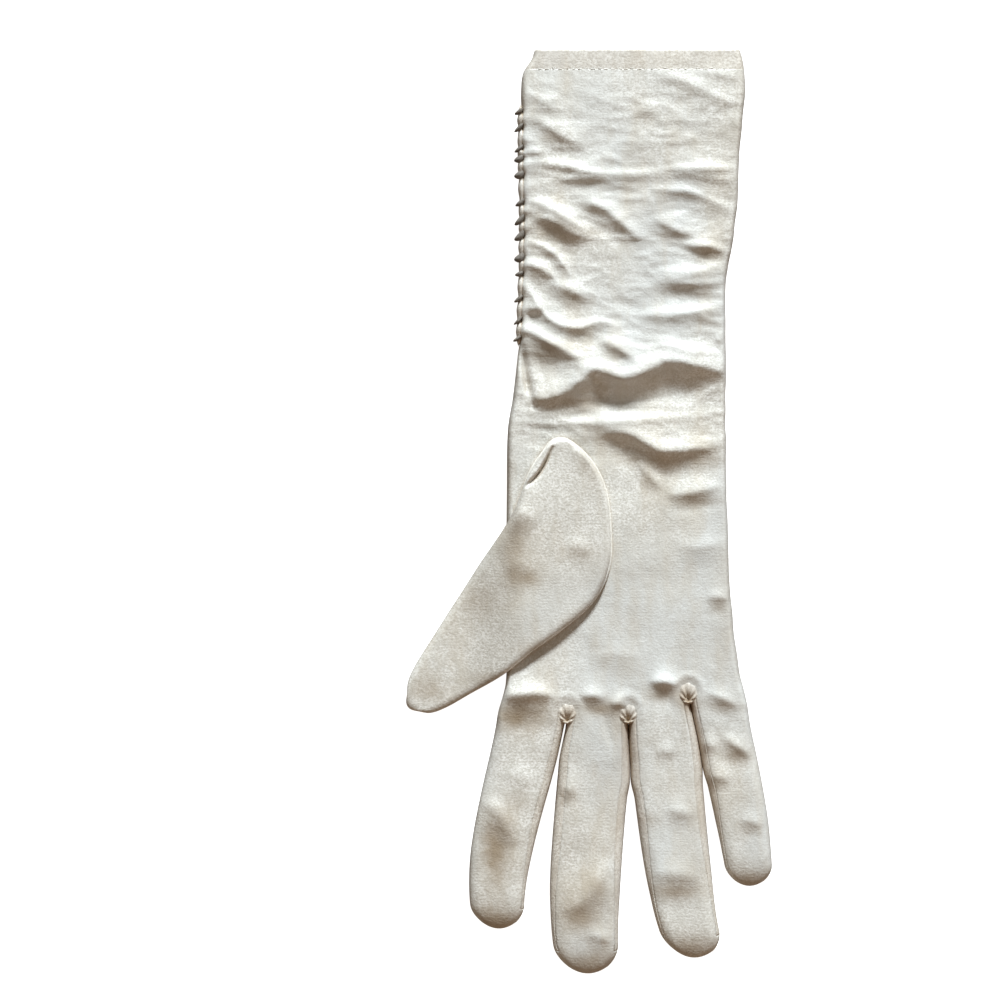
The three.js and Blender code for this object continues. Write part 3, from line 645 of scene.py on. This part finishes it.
def finger_grid(i):
    length, width = FINGERS[i][:2]
    root_y = finger_root(i)[1]
    s = np.linspace(0, 1, FINGER_STEPS + 1)[1:]
    t = (1 - (1 - s) ** 1.35)[:, None]
    left, right = finger_edges(i, t)
    share = np.broadcast_to(column_shares(ARM_COLUMNS)[None, :], (len(t), ARM_COLUMNS + 1)).copy()
    plain = column_shares(ARM_COLUMNS)
    band = lerp(plain[STRIP_COLUMN], 0.045, ease((t - 0.45) / 0.4))
    band = band * lerp(1, 2.2, ease((t - 0.88) / 0.12))
    for _, on_right in strip_sides(i + 1):
        k = STRIP_COLUMN
        own = plain[: k + 1] / plain[k] * band
        rest = band + (plain[k:] - plain[k]) / (1 - plain[k]) * (1 - band)
        squeezed = np.concatenate([own[:, :-1], rest], axis=1)
        if on_right:
            mirrored = 1 - squeezed[:, ::-1]
            share = lerp(share, mirrored, ease((plain - 0.38) / 0.3)[None, :])
        else:
            share = lerp(share, squeezed, ease((0.62 - plain) / 0.3)[None, :])
    slant = (lerp(ROOTS[i][1], ROOTS[i + 1][1], share) - ARM_LENGTH - root_y) * (1 - ease(t / 0.4))
    dome = TIP_DOME * width * (2 * share - 1) ** 2
    x = lerp(left, right, share)
    y = root_y - length * t + slant + dome * ease((t - 0.8) / 0.2)
    tip = y - (root_y - length + dome)
    steep = math.hypot(1, (ROOTS[i + 1][1] - ROOTS[i][1]) / (ROOTS[i + 1][0] - ROOTS[i][0]))
    near_root = 1 - ease(t / 0.06)
    from_edge = np.minimum(x - left, right - x) * lerp(1.0, 1.6 * steep, near_root)
    own = ease(t / 0.3)
    loft = lerp(HAND_LOFT, FINGER_LOFT * through(FINGER_ROWS, 2, t), own)
    round_ = lerp(EDGE_ROUND, 0.22 * (right - left), own)
    front, back, full = skin_height(from_edge, loft, round_, np.maximum(tip, 0))
    front = front + surface_detail(x, y, full)
    return x, y, front, back


def build_skin():
    cloth = Cloth()
    top, under = cloth.two_sides(*arm_rows(HEM_DEPTH - 1, ARM_LENGTH, ARM_STEPS))
    under[-1, ::ARM_COLUMNS] = top[-1, ::ARM_COLUMNS]
    skins = [(top, under)]
    for i in range(4):
        f_top, f_under = cloth.two_sides(*finger_grid(i))
        f_under[-1, :] = f_top[-1, :]
        span = slice(i * ARM_COLUMNS, (i + 1) * ARM_COLUMNS + 1)
        skins.append((np.vstack([top[-1:, span], f_top]), np.vstack([under[-1:, span], f_under])))
    for index, (top, under) in enumerate(skins):
        for name, rows, columns in regions(index):
            cloth.quads(top[rows, columns], name)
            cloth.quads(under[rows, columns], name, flip=True)
    return cloth, skins


def strip_sides(index):
    """Which side strips lie on a skin: the strip's number, and whether it is on the right."""
    sides = ((index - 2, False), (index - 1, True))
    return [(k, on_right) for k, on_right in sides if index and 0 <= k < len(STRIP_NAMES)]


def strip_border(on_right):
    """The column of a finger where its side strip is sewn on."""
    return ARM_COLUMNS - STRIP_COLUMN if on_right else STRIP_COLUMN


def regions(index):
    """The rows and columns of a skin that belong to each piece. Skin 0 is the arm, 1 to 4 the fingers."""
    if index == 0:
        return [("trank", slice(None), slice(None))]
    rows, first, last = slice(0, STRIP_ROWS + 1), 0, ARM_COLUMNS
    out = []
    for k, on_right in strip_sides(index):
        if on_right:
            last = strip_border(on_right)
            out.append((f"strip{k}", rows, slice(last, None)))
        else:
            first = strip_border(on_right)
            out.append((f"strip{k}", rows, slice(0, first + 1)))
    out.append(("trank", rows, slice(first, last + 1)))
    out.append(("trank", slice(STRIP_ROWS, None), slice(None)))
    return out


def inner_side(points, skins):
    """Where each vertex of a skin comes out on the inner side of the cloth."""
    normal = np.zeros_like(points)
    for ids, flip in [(s[0], False) for s in skins] + [(s[1], True) for s in skins]:
        p = points[ids]
        du = np.gradient(p, axis=0)
        dv = np.gradient(p, axis=1)
        n = np.cross(du, dv)
        n = -n if flip else n
        np.add.at(normal, ids.ravel(), n.reshape(-1, 3))
    normal /= np.maximum(np.linalg.norm(normal, axis=1, keepdims=True), 1e-9)
    return points - CLOTH * normal


def coarser(ids):
    rows = sorted(set(range(0, ids.shape[0], ROW_STEP)) | {ids.shape[0] - 1})
    return ids[np.ix_(rows, range(0, ids.shape[1], COLUMN_STEP))]


def lining(cloth, skins):
    """The inner side of the cloth, coarser, joined to the outer side round the mouth and along each seam."""
    inner = inner_side(np.vstack(cloth.points), skins)
    new = {}
    picked = []

    def inside(k):
        if k not in new:
            new[k] = cloth.count + len(picked)
            picked.append(inner[k])
        return new[k]

    def rim(line, step, name, flip):
        """Joins a border line, which runs as its faces do, to the inner side."""
        line = [int(k) for k in (line[::-1] if flip else line)]
        for start in range(0, len(line) - 1, step):
            end, middle = start + step, start + step // 2
            a, b = inside(line[start]), inside(line[end])
            wall = [[line[k + 1], line[k], a if k < middle else b] for k in range(start, end)]
            cloth.face(f"{name} rim", wall + [[line[middle], a, b]])

    for index, skin in enumerate(skins):
        for ids, flip in zip(skin, (False, True)):
            for name, rows, columns in regions(index):
                cloth.quads(np.vectorize(inside)(coarser(ids[rows, columns])), name, not flip)
            if index == 0:
                rim(ids[0, ::-1], COLUMN_STEP, "trank", flip)
            for k, on_right in strip_sides(index):
                border = strip_border(on_right)
                across = slice(border, None) if on_right else slice(0, border + 1)
                side = ids[: STRIP_ROWS + 1, border]
                for line, step in (
                    (side if on_right else side[::-1], ROW_STEP),
                    (ids[STRIP_ROWS, across], COLUMN_STEP),
                    (ids[0, across][::-1], COLUMN_STEP),
                ):
                    rim(line, step, f"strip{k}", flip)
                    rim(line[::-1], step, "trank", flip)
    cloth.points.append(np.array(picked))
    cloth.count += len(picked)


def ring_faces(first, rings, around):
    """Quads between rings of vertices that follow one another from the first vertex on."""
    faces = []
    for start in range(first, first + (rings - 1) * around, around):
        for k in range(around):
            a, b = start + k, start + (k + 1) % around
            faces.append([a, a + around, b + around, b])
    return faces


def knot(i):
    """The gathered end of a side strip: a fan of pleats that spreads from a stitch in the crotch."""
    cx, cy = ROOTS[i + 1][0], ROOTS[i + 1][1] - ARM_LENGTH + 0.3
    hole = np.array([cx, cy - 2.9])
    rings, around = 14, 56
    turn = 2 * np.pi * np.arange(around) / around
    rim = np.stack([cx + KNOT_ACROSS * np.cos(turn), cy + KNOT_ALONG * np.sin(turn)], axis=1)
    pleat = np.cos(7 * turn + 0.8 * i)
    rim = hole + (rim - hole) * (1 + 0.012 * pleat)[:, None]
    middle = EDGE_SHARE * HAND_LOFT
    points = [np.r_[hole, HAND_LOFT - KNOT_SINK]]
    for k in range(1, rings + 1):
        share = k / rings
        at = hole + share * (rim - hole)
        rise = math.sin(0.5 * math.pi * min(share / 0.5, 1))
        dome = rise * math.sqrt(1 - max(0, (share - 0.5) / 0.5) ** 2)
        z = HAND_LOFT - KNOT_SINK + 1.85 * dome + 0.2 * pleat * math.sin(math.pi * share) ** 2
        points += np.column_stack([at, z]).tolist()
    for k in range(rings - 3, 0, -3):
        share = k / rings
        at = hole + share * (rim - hole)
        z = middle - 0.8 * middle * math.sqrt(1 - share**2)
        points += np.column_stack([at, np.full(around, z)]).tolist()
    points.append(np.r_[hole, 0.25 * middle])
    faces = [[0, 1 + k, 1 + (k + 1) % around] for k in range(around)]
    loops = (len(points) - 2) // around
    faces += ring_faces(1, loops, around)
    last = 1 + (loops - 1) * around
    faces += [[last + k, len(points) - 1, last + (k + 1) % around] for k in range(around)]
    return points, faces


def strip_seams(cloth, skins):
    """The raised stitching where a side strip meets the fingers."""
    points = np.vstack(cloth.points)
    out_points, out_faces = [], []
    for index in range(1, len(skins)):
        top = skins[index][0]
        for _, on_right in strip_sides(index):
            path = points[top[2:STRIP_ROWS, strip_border(on_right)]] - (0, 0, 0.1)
            s = np.linspace(0, 1, len(path))
            p, f = tube(path, 0.05 + 0.15 * ease(s / 0.2) * ease((1 - s) / 0.1), 6)
            out_faces += [[v + len(out_points) for v in q] for q in f]
            out_points += p.tolist()
    return out_points, out_faces


# ---------------------------------------------------------------- the thumb


def thumb_rest(x, y):
    inside = x - through(ARM_ROWS, 1, np.clip(-y, 0, ARM_LENGTH))
    return (HAND_LOFT + 0.35) * ease((inside + 14) / 20)


def thumb_line_at(t):
    p = np.array(THUMB_LINE, float) * SQUARE
    p[:, 1] *= -1
    t = np.asarray(t, float)[..., None]
    at = (1 - t) ** 3 * p[0] + 3 * (1 - t) ** 2 * t * p[1] + 3 * (1 - t) * t * t * p[2] + t**3 * p[3]
    go = 3 * (1 - t) ** 2 * (p[1] - p[0]) + 6 * (1 - t) * t * (p[2] - p[1]) + 3 * t * t * (p[3] - p[2])
    return at, go / np.linalg.norm(go, axis=-1, keepdims=True)


def thumb_grid():
    s = np.linspace(0, 1, THUMB_STEPS + 1)
    t = lerp(s, (1 - np.cos(np.pi * s)) / 2, 0.55)
    at, go = thumb_line_at(t)
    share = column_shares(THUMB_COLUMNS)[None, :]
    left = -through(THUMB_ROWS, 1, t)[:, None]
    right = through(THUMB_ROWS, 2, t)[:, None]
    off = lerp(left, right, share)
    bulge = 1.8 * (1 - (2 * share - 1) ** 2)
    along = bulge * (ease((t[:, None] - 0.9) / 0.1) - ease((0.1 - t[:, None]) / 0.1))
    x = at[:, 0:1] - go[:, 1:2] * off + go[:, 0:1] * along
    y = at[:, 1:2] + go[:, 0:1] * off + go[:, 1:2] * along
    ends = np.minimum(t[:, None] * THUMB_LENGTH, (1 - t[:, None]) * THUMB_LENGTH)
    from_edge = np.minimum(np.minimum(off - left, right - off), ends)
    # The right edge is sewn down further than the left.
    sewn_right = (1 - ease((t[:, None] - 0.36) / 0.12)) * (share > 0.5)
    sewn = np.maximum(sewn_right, 1 - ease((t[:, None] - 0.12) / 0.1))
    round_ = lerp(2.6, 1.6, sewn)
    edge = lerp(0.42, 0.2, sewn)
    full = arch(from_edge / round_)
    rest = thumb_rest(x, y)
    middle = edge * THUMB_LOFT
    front = rest + middle + (THUMB_LOFT - middle) * full
    back = rest + middle * (1 - full)
    front = front + (fold_field(THUMB_FOLDS, x, y) + 0.25 * waver(x, y, 12, 12, 3.3)) * full**1.5
    s, along = beside(smooth_line(THUMB_SLIT), x.ravel(), y.ravel())
    s, along = s.reshape(x.shape), along.reshape(x.shape)
    open_ = np.sin(np.pi * along) ** 0.7
    slope = 0.7 * ease(-s / 0.5) * np.exp(s / 2.5) * (s < 0)
    front = front - open_ * (2.0 * np.exp(-((s / 0.5) ** 2)) + slope)
    front = front + 0.3 * open_ * np.exp(-(((s - 0.9) / 0.7) ** 2))
    return x, y, front, back


def build_thumb():
    cloth = Cloth()
    top, under = cloth.two_sides(*thumb_grid())
    under[0, :], under[-1, :] = top[0, :], top[-1, :]
    cloth.quads(top, "thumb")
    cloth.quads(under, "thumb", flip=True)
    inner = cloth.add(inner_side(np.vstack(cloth.points), [(top, under)]))
    cloth.quads(inner[coarser(top)], "thumb", flip=True)
    cloth.quads(inner[coarser(under)], "thumb")
    return cloth.piece("thumb")


# ---------------------------------------------------------------- hem, ruched seam, welts


def build_hem():
    cloth = Cloth()
    x, y, front, back = arm_rows(0, HEM_DEPTH, 12)
    down = -y
    swell = 0.12 * np.sin(np.pi * np.clip(down / 6.0, 0, 1))
    front = front + 0.05 + swell - 0.1 * ease((down - 5.6) / 1.4)
    top, under = cloth.two_sides(x, y, front, back)
    loop = np.concatenate([top, under[:, -2:0:-1]], axis=1)
    points = np.vstack(cloth.points)
    ring = points[loop]
    ahead = np.roll(ring, -1, axis=1) - np.roll(ring, 1, axis=1)
    inward = np.stack([-ahead[..., 2], np.zeros(ring.shape[:2]), ahead[..., 0]], axis=-1)
    inward /= np.linalg.norm(inward, axis=-1, keepdims=True)
    inner = cloth.add(ring - HEM_CLOTH * inward)
    closed = np.concatenate([loop, loop[:, :1]], axis=1)
    inner_closed = np.concatenate([inner, inner[:, :1]], axis=1)
    cloth.quads(closed, "hem")
    cloth.quads(inner_closed, "hem", flip=True)
    cloth.quads(np.stack([inner_closed[0], closed[0]]), "hem")
    cloth.quads(np.stack([closed[-1], inner_closed[-1]]), "hem")
    return cloth.piece("hem")


def build_ruche():
    """The gathered seam, which swells a little between its stitches."""
    start, end = GATHER_AT[0] - 2.5, GATHER_AT[-1] + 2.5
    down = np.linspace(start, end, 330)
    wave = (gather_wave(down) + 1) / 2
    size = 0.62 + 0.38 * wave**0.8
    size *= ease((down - start) / 2) * ease((end - down) / 2) * 0.97 + 0.03
    left, _, loft = arm_at(down)
    angle = np.linspace(0, 2 * np.pi, 25)[:-1]
    wobble = np.array([noise.noise(Vector((d / 3.1, 0.3, 7.7))) for d in down])
    x = (left - 0.05)[:, None] + (1.1 * size)[:, None] * np.cos(angle)[None, :] - 0.25 * wobble[:, None]
    z = (EDGE_SHARE * loft + 1.1)[:, None] + (2.5 * size)[:, None] * np.sin(angle)[None, :]
    y = np.broadcast_to(-down[:, None], x.shape) + 0.5 * np.sin(angle)[None, :] * wave[:, None]
    cloth = Cloth()
    ids = cloth.add(np.stack([x, y, z], axis=-1))
    closed = np.concatenate([ids, ids[:, :1]], axis=1)
    cloth.quads(closed, "ruche", flip=True)
    cloth.face("ruche", [ids[0].tolist(), ids[-1].tolist()[::-1]])
    return cloth.piece("ruche")


def build_tucks():
    """The pinched tucks at the stitches of the gathered seam, which stand out of its edge."""
    points, faces = [], []
    rings, around = 8, 14
    for n, (down, (_, size)) in enumerate(zip(GATHER_AT, GATHERS)):
        left, _, loft = (float(v) for v in arm_at(down))
        lean = 0.45 + 0.3 * math.sin(1.3 * n)
        first = len(points)
        for r in range(rings + 1):
            polar = math.pi * r / rings
            wide = math.sin(polar) ** 0.55
            for k in range(around):
                turn = 2 * math.pi * k / around
                out = (0.8 + 0.8 * size) * wide * math.cos(turn)
                slide = 1.15 * size * wide * math.sin(turn) * (1 + 0.35 * math.cos(turn))
                points.append(
                    (
                        left - 0.6 + out + 0.2 * slide,
                        -down + slide + lean * out,
                        EDGE_SHARE * loft + 1.9 + 1.9 * math.cos(polar),
                    )
                )
        faces += ring_faces(first, rings + 1, around)
    return points, faces


def tube(path, radius, around=8):
    """A round welt or thread along points in millimetres."""
    path = np.asarray(path, float)
    go = np.gradient(path, axis=0)
    go /= np.linalg.norm(go, axis=1, keepdims=True)
    up = np.array([0.0, 0, 1])
    side = np.cross(go, up)
    side /= np.maximum(np.linalg.norm(side, axis=1, keepdims=True), 1e-9)
    lift = np.cross(side, go)
    radius = np.broadcast_to(radius, len(path))
    angle = np.linspace(0, 2 * np.pi, around + 1)[:-1]
    ring = (
        path[:, None, :]
        + (radius[:, None] * np.cos(angle))[..., None] * side[:, None, :]
        + (radius[:, None] * np.sin(angle))[..., None] * lift[:, None, :]
    )
    n = len(path)
    faces = []
    for k in range(n - 1):
        for j in range(around):
            a, b = k * around + j, k * around + (j + 1) % around
            faces.append([a, b, b + around, a + around])
    faces.append(list(range(around))[::-1])
    faces.append([(n - 1) * around + j for j in range(around)])
    return ring.reshape(-1, 3), faces


def thumb_welt():
    """The raised seam round the thumb's root: up its right edge, over its top and down to the slit."""
    x, y, front, _ = thumb_grid()
    rows = x.shape[0]
    last = int(rows * 0.5)
    right = [(x[k, -1], y[k, -1], front[k, -1]) for k in range(last, 0, -1)]
    over = [(x[0, j], y[0, j], front[0, j]) for j in range(x.shape[1] - 1, 0, -1)]
    left = [(x[k, 0], y[k, 0], front[k, 0]) for k in range(0, int(rows * 0.2))]
    path = np.array(right + over + left)
    keep = [0]
    for k in range(1, len(path)):
        if np.linalg.norm(path[k] - path[keep[-1]]) > 0.5:
            keep.append(k)
    path = path[keep]
    for _ in range(3):
        path[1:-1] = (path[:-2] + 2 * path[1:-1] + path[2:]) / 4
    s = np.linspace(0, 1, len(path))
    radius = 0.3 * np.minimum(ease(s / 0.12), ease((1 - s) / 0.1)) + 0.05
    path[:, 2] += 0.05
    return tube(path, radius)


def hem_stitches(front_at):
    """The sewing thread of the hem: short dashes across the front, just over its foot."""
    points, faces = [], []
    left, right, _ = arm_at(STITCH_DOWN)
    x = float(left) + 5
    k = 0
    while x < float(right) - 5:
        y = -STITCH_DOWN + 0.12 * math.sin(3.7 * k)
        path = [
            (x + d, y + 0.02 * d, front_at(x + d) + 0.05 * (1 - abs(d) / 0.8))
            for d in np.linspace(-STITCH_HALF, STITCH_HALF, 5)
        ]
        p, f = tube(path, THREAD_RADIUS, 6)
        faces += [[v + len(points) for v in q] for q in f]
        points += p.tolist()
        x += 2.1 + 0.25 * math.sin(1.9 * k)
        k += 1
    return points, faces


# ---------------------------------------------------------------- materials


def satin(name, light, dark, roughness, lines=1.0, hollows=1.0):
    """Satin-faced knit: fine courses across the glove, a grain, mottled tone, painted brown shade and wear,
    and painted warm shade in hollows.
    """
    mat = bpy.data.materials.new(name)
    mat.use_nodes = True
    tree = mat.node_tree
    nodes, links = tree.nodes, tree.links
    shader = nodes["Principled BSDF"]
    place = nodes.new("ShaderNodeTexCoord").outputs["Object"]

    def stretched(across, along):
        n = nodes.new("ShaderNodeMapping")
        n.inputs["Scale"].default_value = (across, along, 1.0)
        links.new(place, n.inputs["Vector"])
        return n.outputs["Vector"]

    def speckle(scale, detail, where, roughness_=0.6):
        n = nodes.new("ShaderNodeTexNoise")
        n.inputs["Scale"].default_value = scale
        n.inputs["Detail"].default_value = detail
        n.inputs["Roughness"].default_value = roughness_
        links.new(where, n.inputs["Vector"])
        return n.outputs["Fac"]

    def ramp(source, low, high, a=0.0, b=1.0):
        n = nodes.new("ShaderNodeMapRange")
        for key, value in (("From Min", low), ("From Max", high), ("To Min", a), ("To Max", b)):
            n.inputs[key].default_value = value
        links.new(source, n.inputs["Value"])
        return n.outputs["Result"]

    def mix(a, b, factor):
        m = nodes.new("ShaderNodeMix")
        m.data_type = "RGBA"
        for key, value in (("A_Color", a), ("B_Color", b), ("Factor_Float", factor)):
            socket = next(i for i in m.inputs if i.identifier == key)
            if isinstance(value, tuple):
                socket.default_value = (*value, 1)
            else:
                links.new(value, socket)
        return next(o for o in m.outputs if o.identifier == "Result_Color")

    def tinted(red, green, blue):
        return dark[0] * red, dark[1] * green, dark[2] * blue

    grain = speckle(1500.0, 2.0, stretched(0.85, 1.0), 0.7)
    slub = speckle(420.0, 2.0, stretched(1.0, 0.55))
    mottle = speckle(68.0, 3.0, stretched(1.0, 0.7))
    patch = speckle(28.0, 2.0, place)
    tone = mix(light, dark, ramp(grain, 0.39, 0.61, 0.0, 1.0))
    tone = mix(tone, dark, ramp(slub, 0.45, 0.72, 0.0, 0.6))
    tone = mix(tone, dark, ramp(mottle, 0.48, 0.7, 0.0, 0.6))
    brown = tinted(0.86, 0.77, 0.66)
    tone = mix(tone, brown, ramp(patch, 0.52, 0.72, 0.0, 0.45))
    cool_patch = speckle(20.0, 2.0, stretched(1.0, 0.6))
    tone = mix(tone, tinted(1.08, 1.14, 1.24), ramp(cool_patch, 0.45, 0.62, 0.0, 0.7))
    streaks = speckle(95.0, 3.0, stretched(1.0, 0.3))
    tone = mix(tone, brown, ramp(streaks, 0.5, 0.72, 0.0, 0.45))
    # Painted shade and wear: the patches brown the colour under folds, in the crotches and at the tips.
    painted_shade_and_wear = nodes.new("ShaderNodeAttribute")
    painted_shade_and_wear.attribute_name = "painted_shade_and_wear"
    tone = mix(tone, tinted(0.56, 0.45, 0.34), ramp(painted_shade_and_wear.outputs["Fac"], 0.0, 1.0, 0.0, 0.95))
    # Painted shade: the colour goes warm brown where other surfaces lie close, in hollows, creases and
    # crotches.
    closeness = nodes.new("ShaderNodeAmbientOcclusion")
    closeness.samples = 8
    closeness.inputs["Distance"].default_value = 0.005
    hollow_painted_shade = ramp(closeness.outputs["AO"], 0.2, 0.8, 0.8 * hollows, 0.0)
    tone = mix(tone, tinted(0.74, 0.58, 0.41), hollow_painted_shade)
    links.new(tone, shader.inputs["Base Color"])

    links.new(ramp(grain, 0.3, 0.7, roughness - 0.06, roughness + 0.1), shader.inputs["Roughness"])
    shader.inputs["Specular IOR Level"].default_value = 0.32
    shader.inputs["Sheen Weight"].default_value = 0.08
    shader.inputs["Sheen Roughness"].default_value = 0.4

    courses = nodes.new("ShaderNodeTexWave")
    courses.wave_type = "BANDS"
    courses.bands_direction = "Y"
    courses.inputs["Scale"].default_value = 330.0
    courses.inputs["Distortion"].default_value = 1.6
    courses.inputs["Detail"].default_value = 2.0
    links.new(place, courses.inputs["Vector"])
    height = nodes.new("ShaderNodeMath")
    height.operation = "MULTIPLY_ADD"
    links.new(courses.outputs["Fac"], height.inputs[0])
    height.inputs[1].default_value = 0.05 * lines
    both = nodes.new("ShaderNodeMath")
    both.operation = "MULTIPLY_ADD"
    links.new(slub, both.inputs[0])
    both.inputs[1].default_value = 1.4
    links.new(grain, both.inputs[2])
    links.new(both.outputs["Value"], height.inputs[2])
    bump = nodes.new("ShaderNodeBump")
    bump.inputs["Strength"].default_value = 0.8
    bump.inputs["Distance"].default_value = 0.00018
    links.new(height.outputs["Value"], bump.inputs["Height"])
    links.new(bump.outputs["Normal"], shader.inputs["Normal"])
    return mat


def white_floor():
    mat = bpy.data.materials.new("white_surface")
    mat.use_nodes = True
    shader = mat.node_tree.nodes["Principled BSDF"]
    shader.inputs["Base Color"].default_value = (0.92, 0.92, 0.92, 1)
    shader.inputs["Roughness"].default_value = 0.9
    shader.inputs["Specular IOR Level"].default_value = 0.1
    shader.inputs["Emission Color"].default_value = (1, 1, 1, 1)
    shader.inputs["Emission Strength"].default_value = 1.0
    return mat


# ---------------------------------------------------------------- making it

ivory = satin("ivory_satin", (0.965, 0.966, 0.95), (0.67, 0.658, 0.615), 0.42)
seam_satin = satin("seam_satin", (0.95, 0.93, 0.89), (0.64, 0.6, 0.54), 0.42, 0.7, 0.7)
thread = satin("thread", (0.97, 0.96, 0.92), (0.86, 0.84, 0.79), 0.5, 0.3, 0.0)
# The tucks' satin is far darker than the cloth: painted shade for the dark gaps between the gathers.
shaded = satin("tuck_painted_shade", (0.3, 0.28, 0.25), (0.17, 0.15, 0.13), 0.6, 0.3, 0.4)

cloth, skins = build_skin()
lining(cloth, skins)
pieces = []
trank = mesh_object("trank_cloth", *cloth.piece("trank"), ivory, PAINTED_SHADE_AND_WEAR, cloth.rim_count("trank"))
pieces.append((trank, "trank", "satin"))
for i, name in enumerate(STRIP_NAMES):
    own, rims = cloth.piece(f"strip{i}", [knot(i)]), cloth.rim_count(f"strip{i}")
    strip = mesh_object(f"strip_{name}", *own, seam_satin, PAINTED_SHADE_AND_WEAR, rims)
    pieces.append((strip, f"fourchette_{name}", "seamed_satin"))
thumb = mesh_object("thumb_cloth", *build_thumb(), ivory, THUMB_PAINTED_SHADE_AND_WEAR)
pieces.append((thumb, "thumb", "satin"))
hem = mesh_object("hem_cloth", *build_hem(), seam_satin)
pieces.append((hem, "hem_band", "seamed_satin"))
ruche = mesh_object("ruche_cloth", *build_ruche(), seam_satin)
pieces.append((ruche, "ruched_seam", "seamed_satin"))
for obj, node, slot in pieces:
    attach(obj, "root")
    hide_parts(node)

welt = mesh_object("thumb_welt", *thumb_welt(), thread)
seams = mesh_object("strip_seams", *strip_seams(cloth, skins), seam_satin)
# The tucks wear the dark satin of painted shade.
tucks = mesh_object("ruche_tucks", *build_tucks(), shaded)
hem_x, _, hem_front, _ = arm_rows(STITCH_DOWN, STITCH_DOWN, 1)
stitches = mesh_object(
    "hem_thread", *hem_stitches(lambda x: float(np.interp(x, hem_x[0], hem_front[0]))), thread
)
for obj in (welt, seams, tucks, stitches):
    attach(obj, "root")

# ---------------------------------------------------------------- stage, light, camera

FLOOR_REACH = 40
FLOOR_Z = -0.0002
floor_mesh = bpy.data.meshes.new("floor")
corners = [(-1, -1), (1, -1), (1, 1), (-1, 1)]
floor_mesh.from_pydata([(FLOOR_REACH * x, FLOOR_REACH * y, FLOOR_Z) for x, y in corners], [], [(0, 1, 2, 3)])
floor_mesh.materials.append(white_floor())
floor = bpy.data.objects.new("floor", floor_mesh)
floor.visible_diffuse = False
floor.visible_glossy = False
bpy.context.scene.collection.objects.link(floor)


def area_light(name, place, size, power, colour):
    """A soft disk that looks at the middle of the frame."""
    light = bpy.data.lights.new(name, "AREA")
    light.shape = "DISK"
    light.size = size
    light.energy = power
    light.color = colour
    obj = bpy.data.objects.new(name, light)
    bpy.context.scene.collection.objects.link(obj)
    obj.location = place
    obj.rotation_mode = "QUATERNION"
    obj.rotation_quaternion = (-Vector(place)).to_track_quat("-Z", "Y")


area_light("key", (0.7, 5.1, 2.7), 1.0, 530, (0.93, 0.99, 1.0))
area_light("side_fill", (3.0, 0.6, 1.0), 1.5, 14, (1.0, 0.97, 0.92))
area_light("left_fill", (-3.0, 0.6, 1.2), 1.5, 12, (1.0, 0.95, 0.88))
area_light("warm_fill", (0.2, -1.4, 0.6), 1.0, 3.0, (1.0, 0.62, 0.36))

world = bpy.data.worlds.new("room")
bpy.context.scene.world = world
world.use_nodes = True
background = world.node_tree.nodes["Background"]
background.inputs["Color"].default_value = (1.0, 0.8, 0.6, 1)
background.inputs["Strength"].default_value = 0.12

# The photo is 1000 squares wide. Its middle is this far across and down from the mouth's middle.
PHOTO_SIDE = 1000 * SQUARE / 1000
PHOTO_MIDDLE = (-117, 450)
SENSOR = 36
DISTANCE = 1.3
camera = bpy.data.cameras.new("camera")
camera.sensor_width = SENSOR
camera.clip_end = 100
camera.lens = SENSOR * DISTANCE / PHOTO_SIDE
view = bpy.data.objects.new("camera", camera)
bpy.context.scene.collection.objects.link(view)
aim_x = (PHOTO_MIDDLE[0] * SQUARE + MIDDLE_X) / 1000
aim_y = (-PHOTO_MIDDLE[1] * SQUARE + MOUTH_Y) / 1000
view.location = Vector((aim_x, aim_y, 0.005)) + Vector((0, 0, DISTANCE))
bpy.context.scene.camera = view

bpy.context.scene.view_settings.view_transform = "Standard"
bpy.context.scene.view_settings.exposure = 0.0
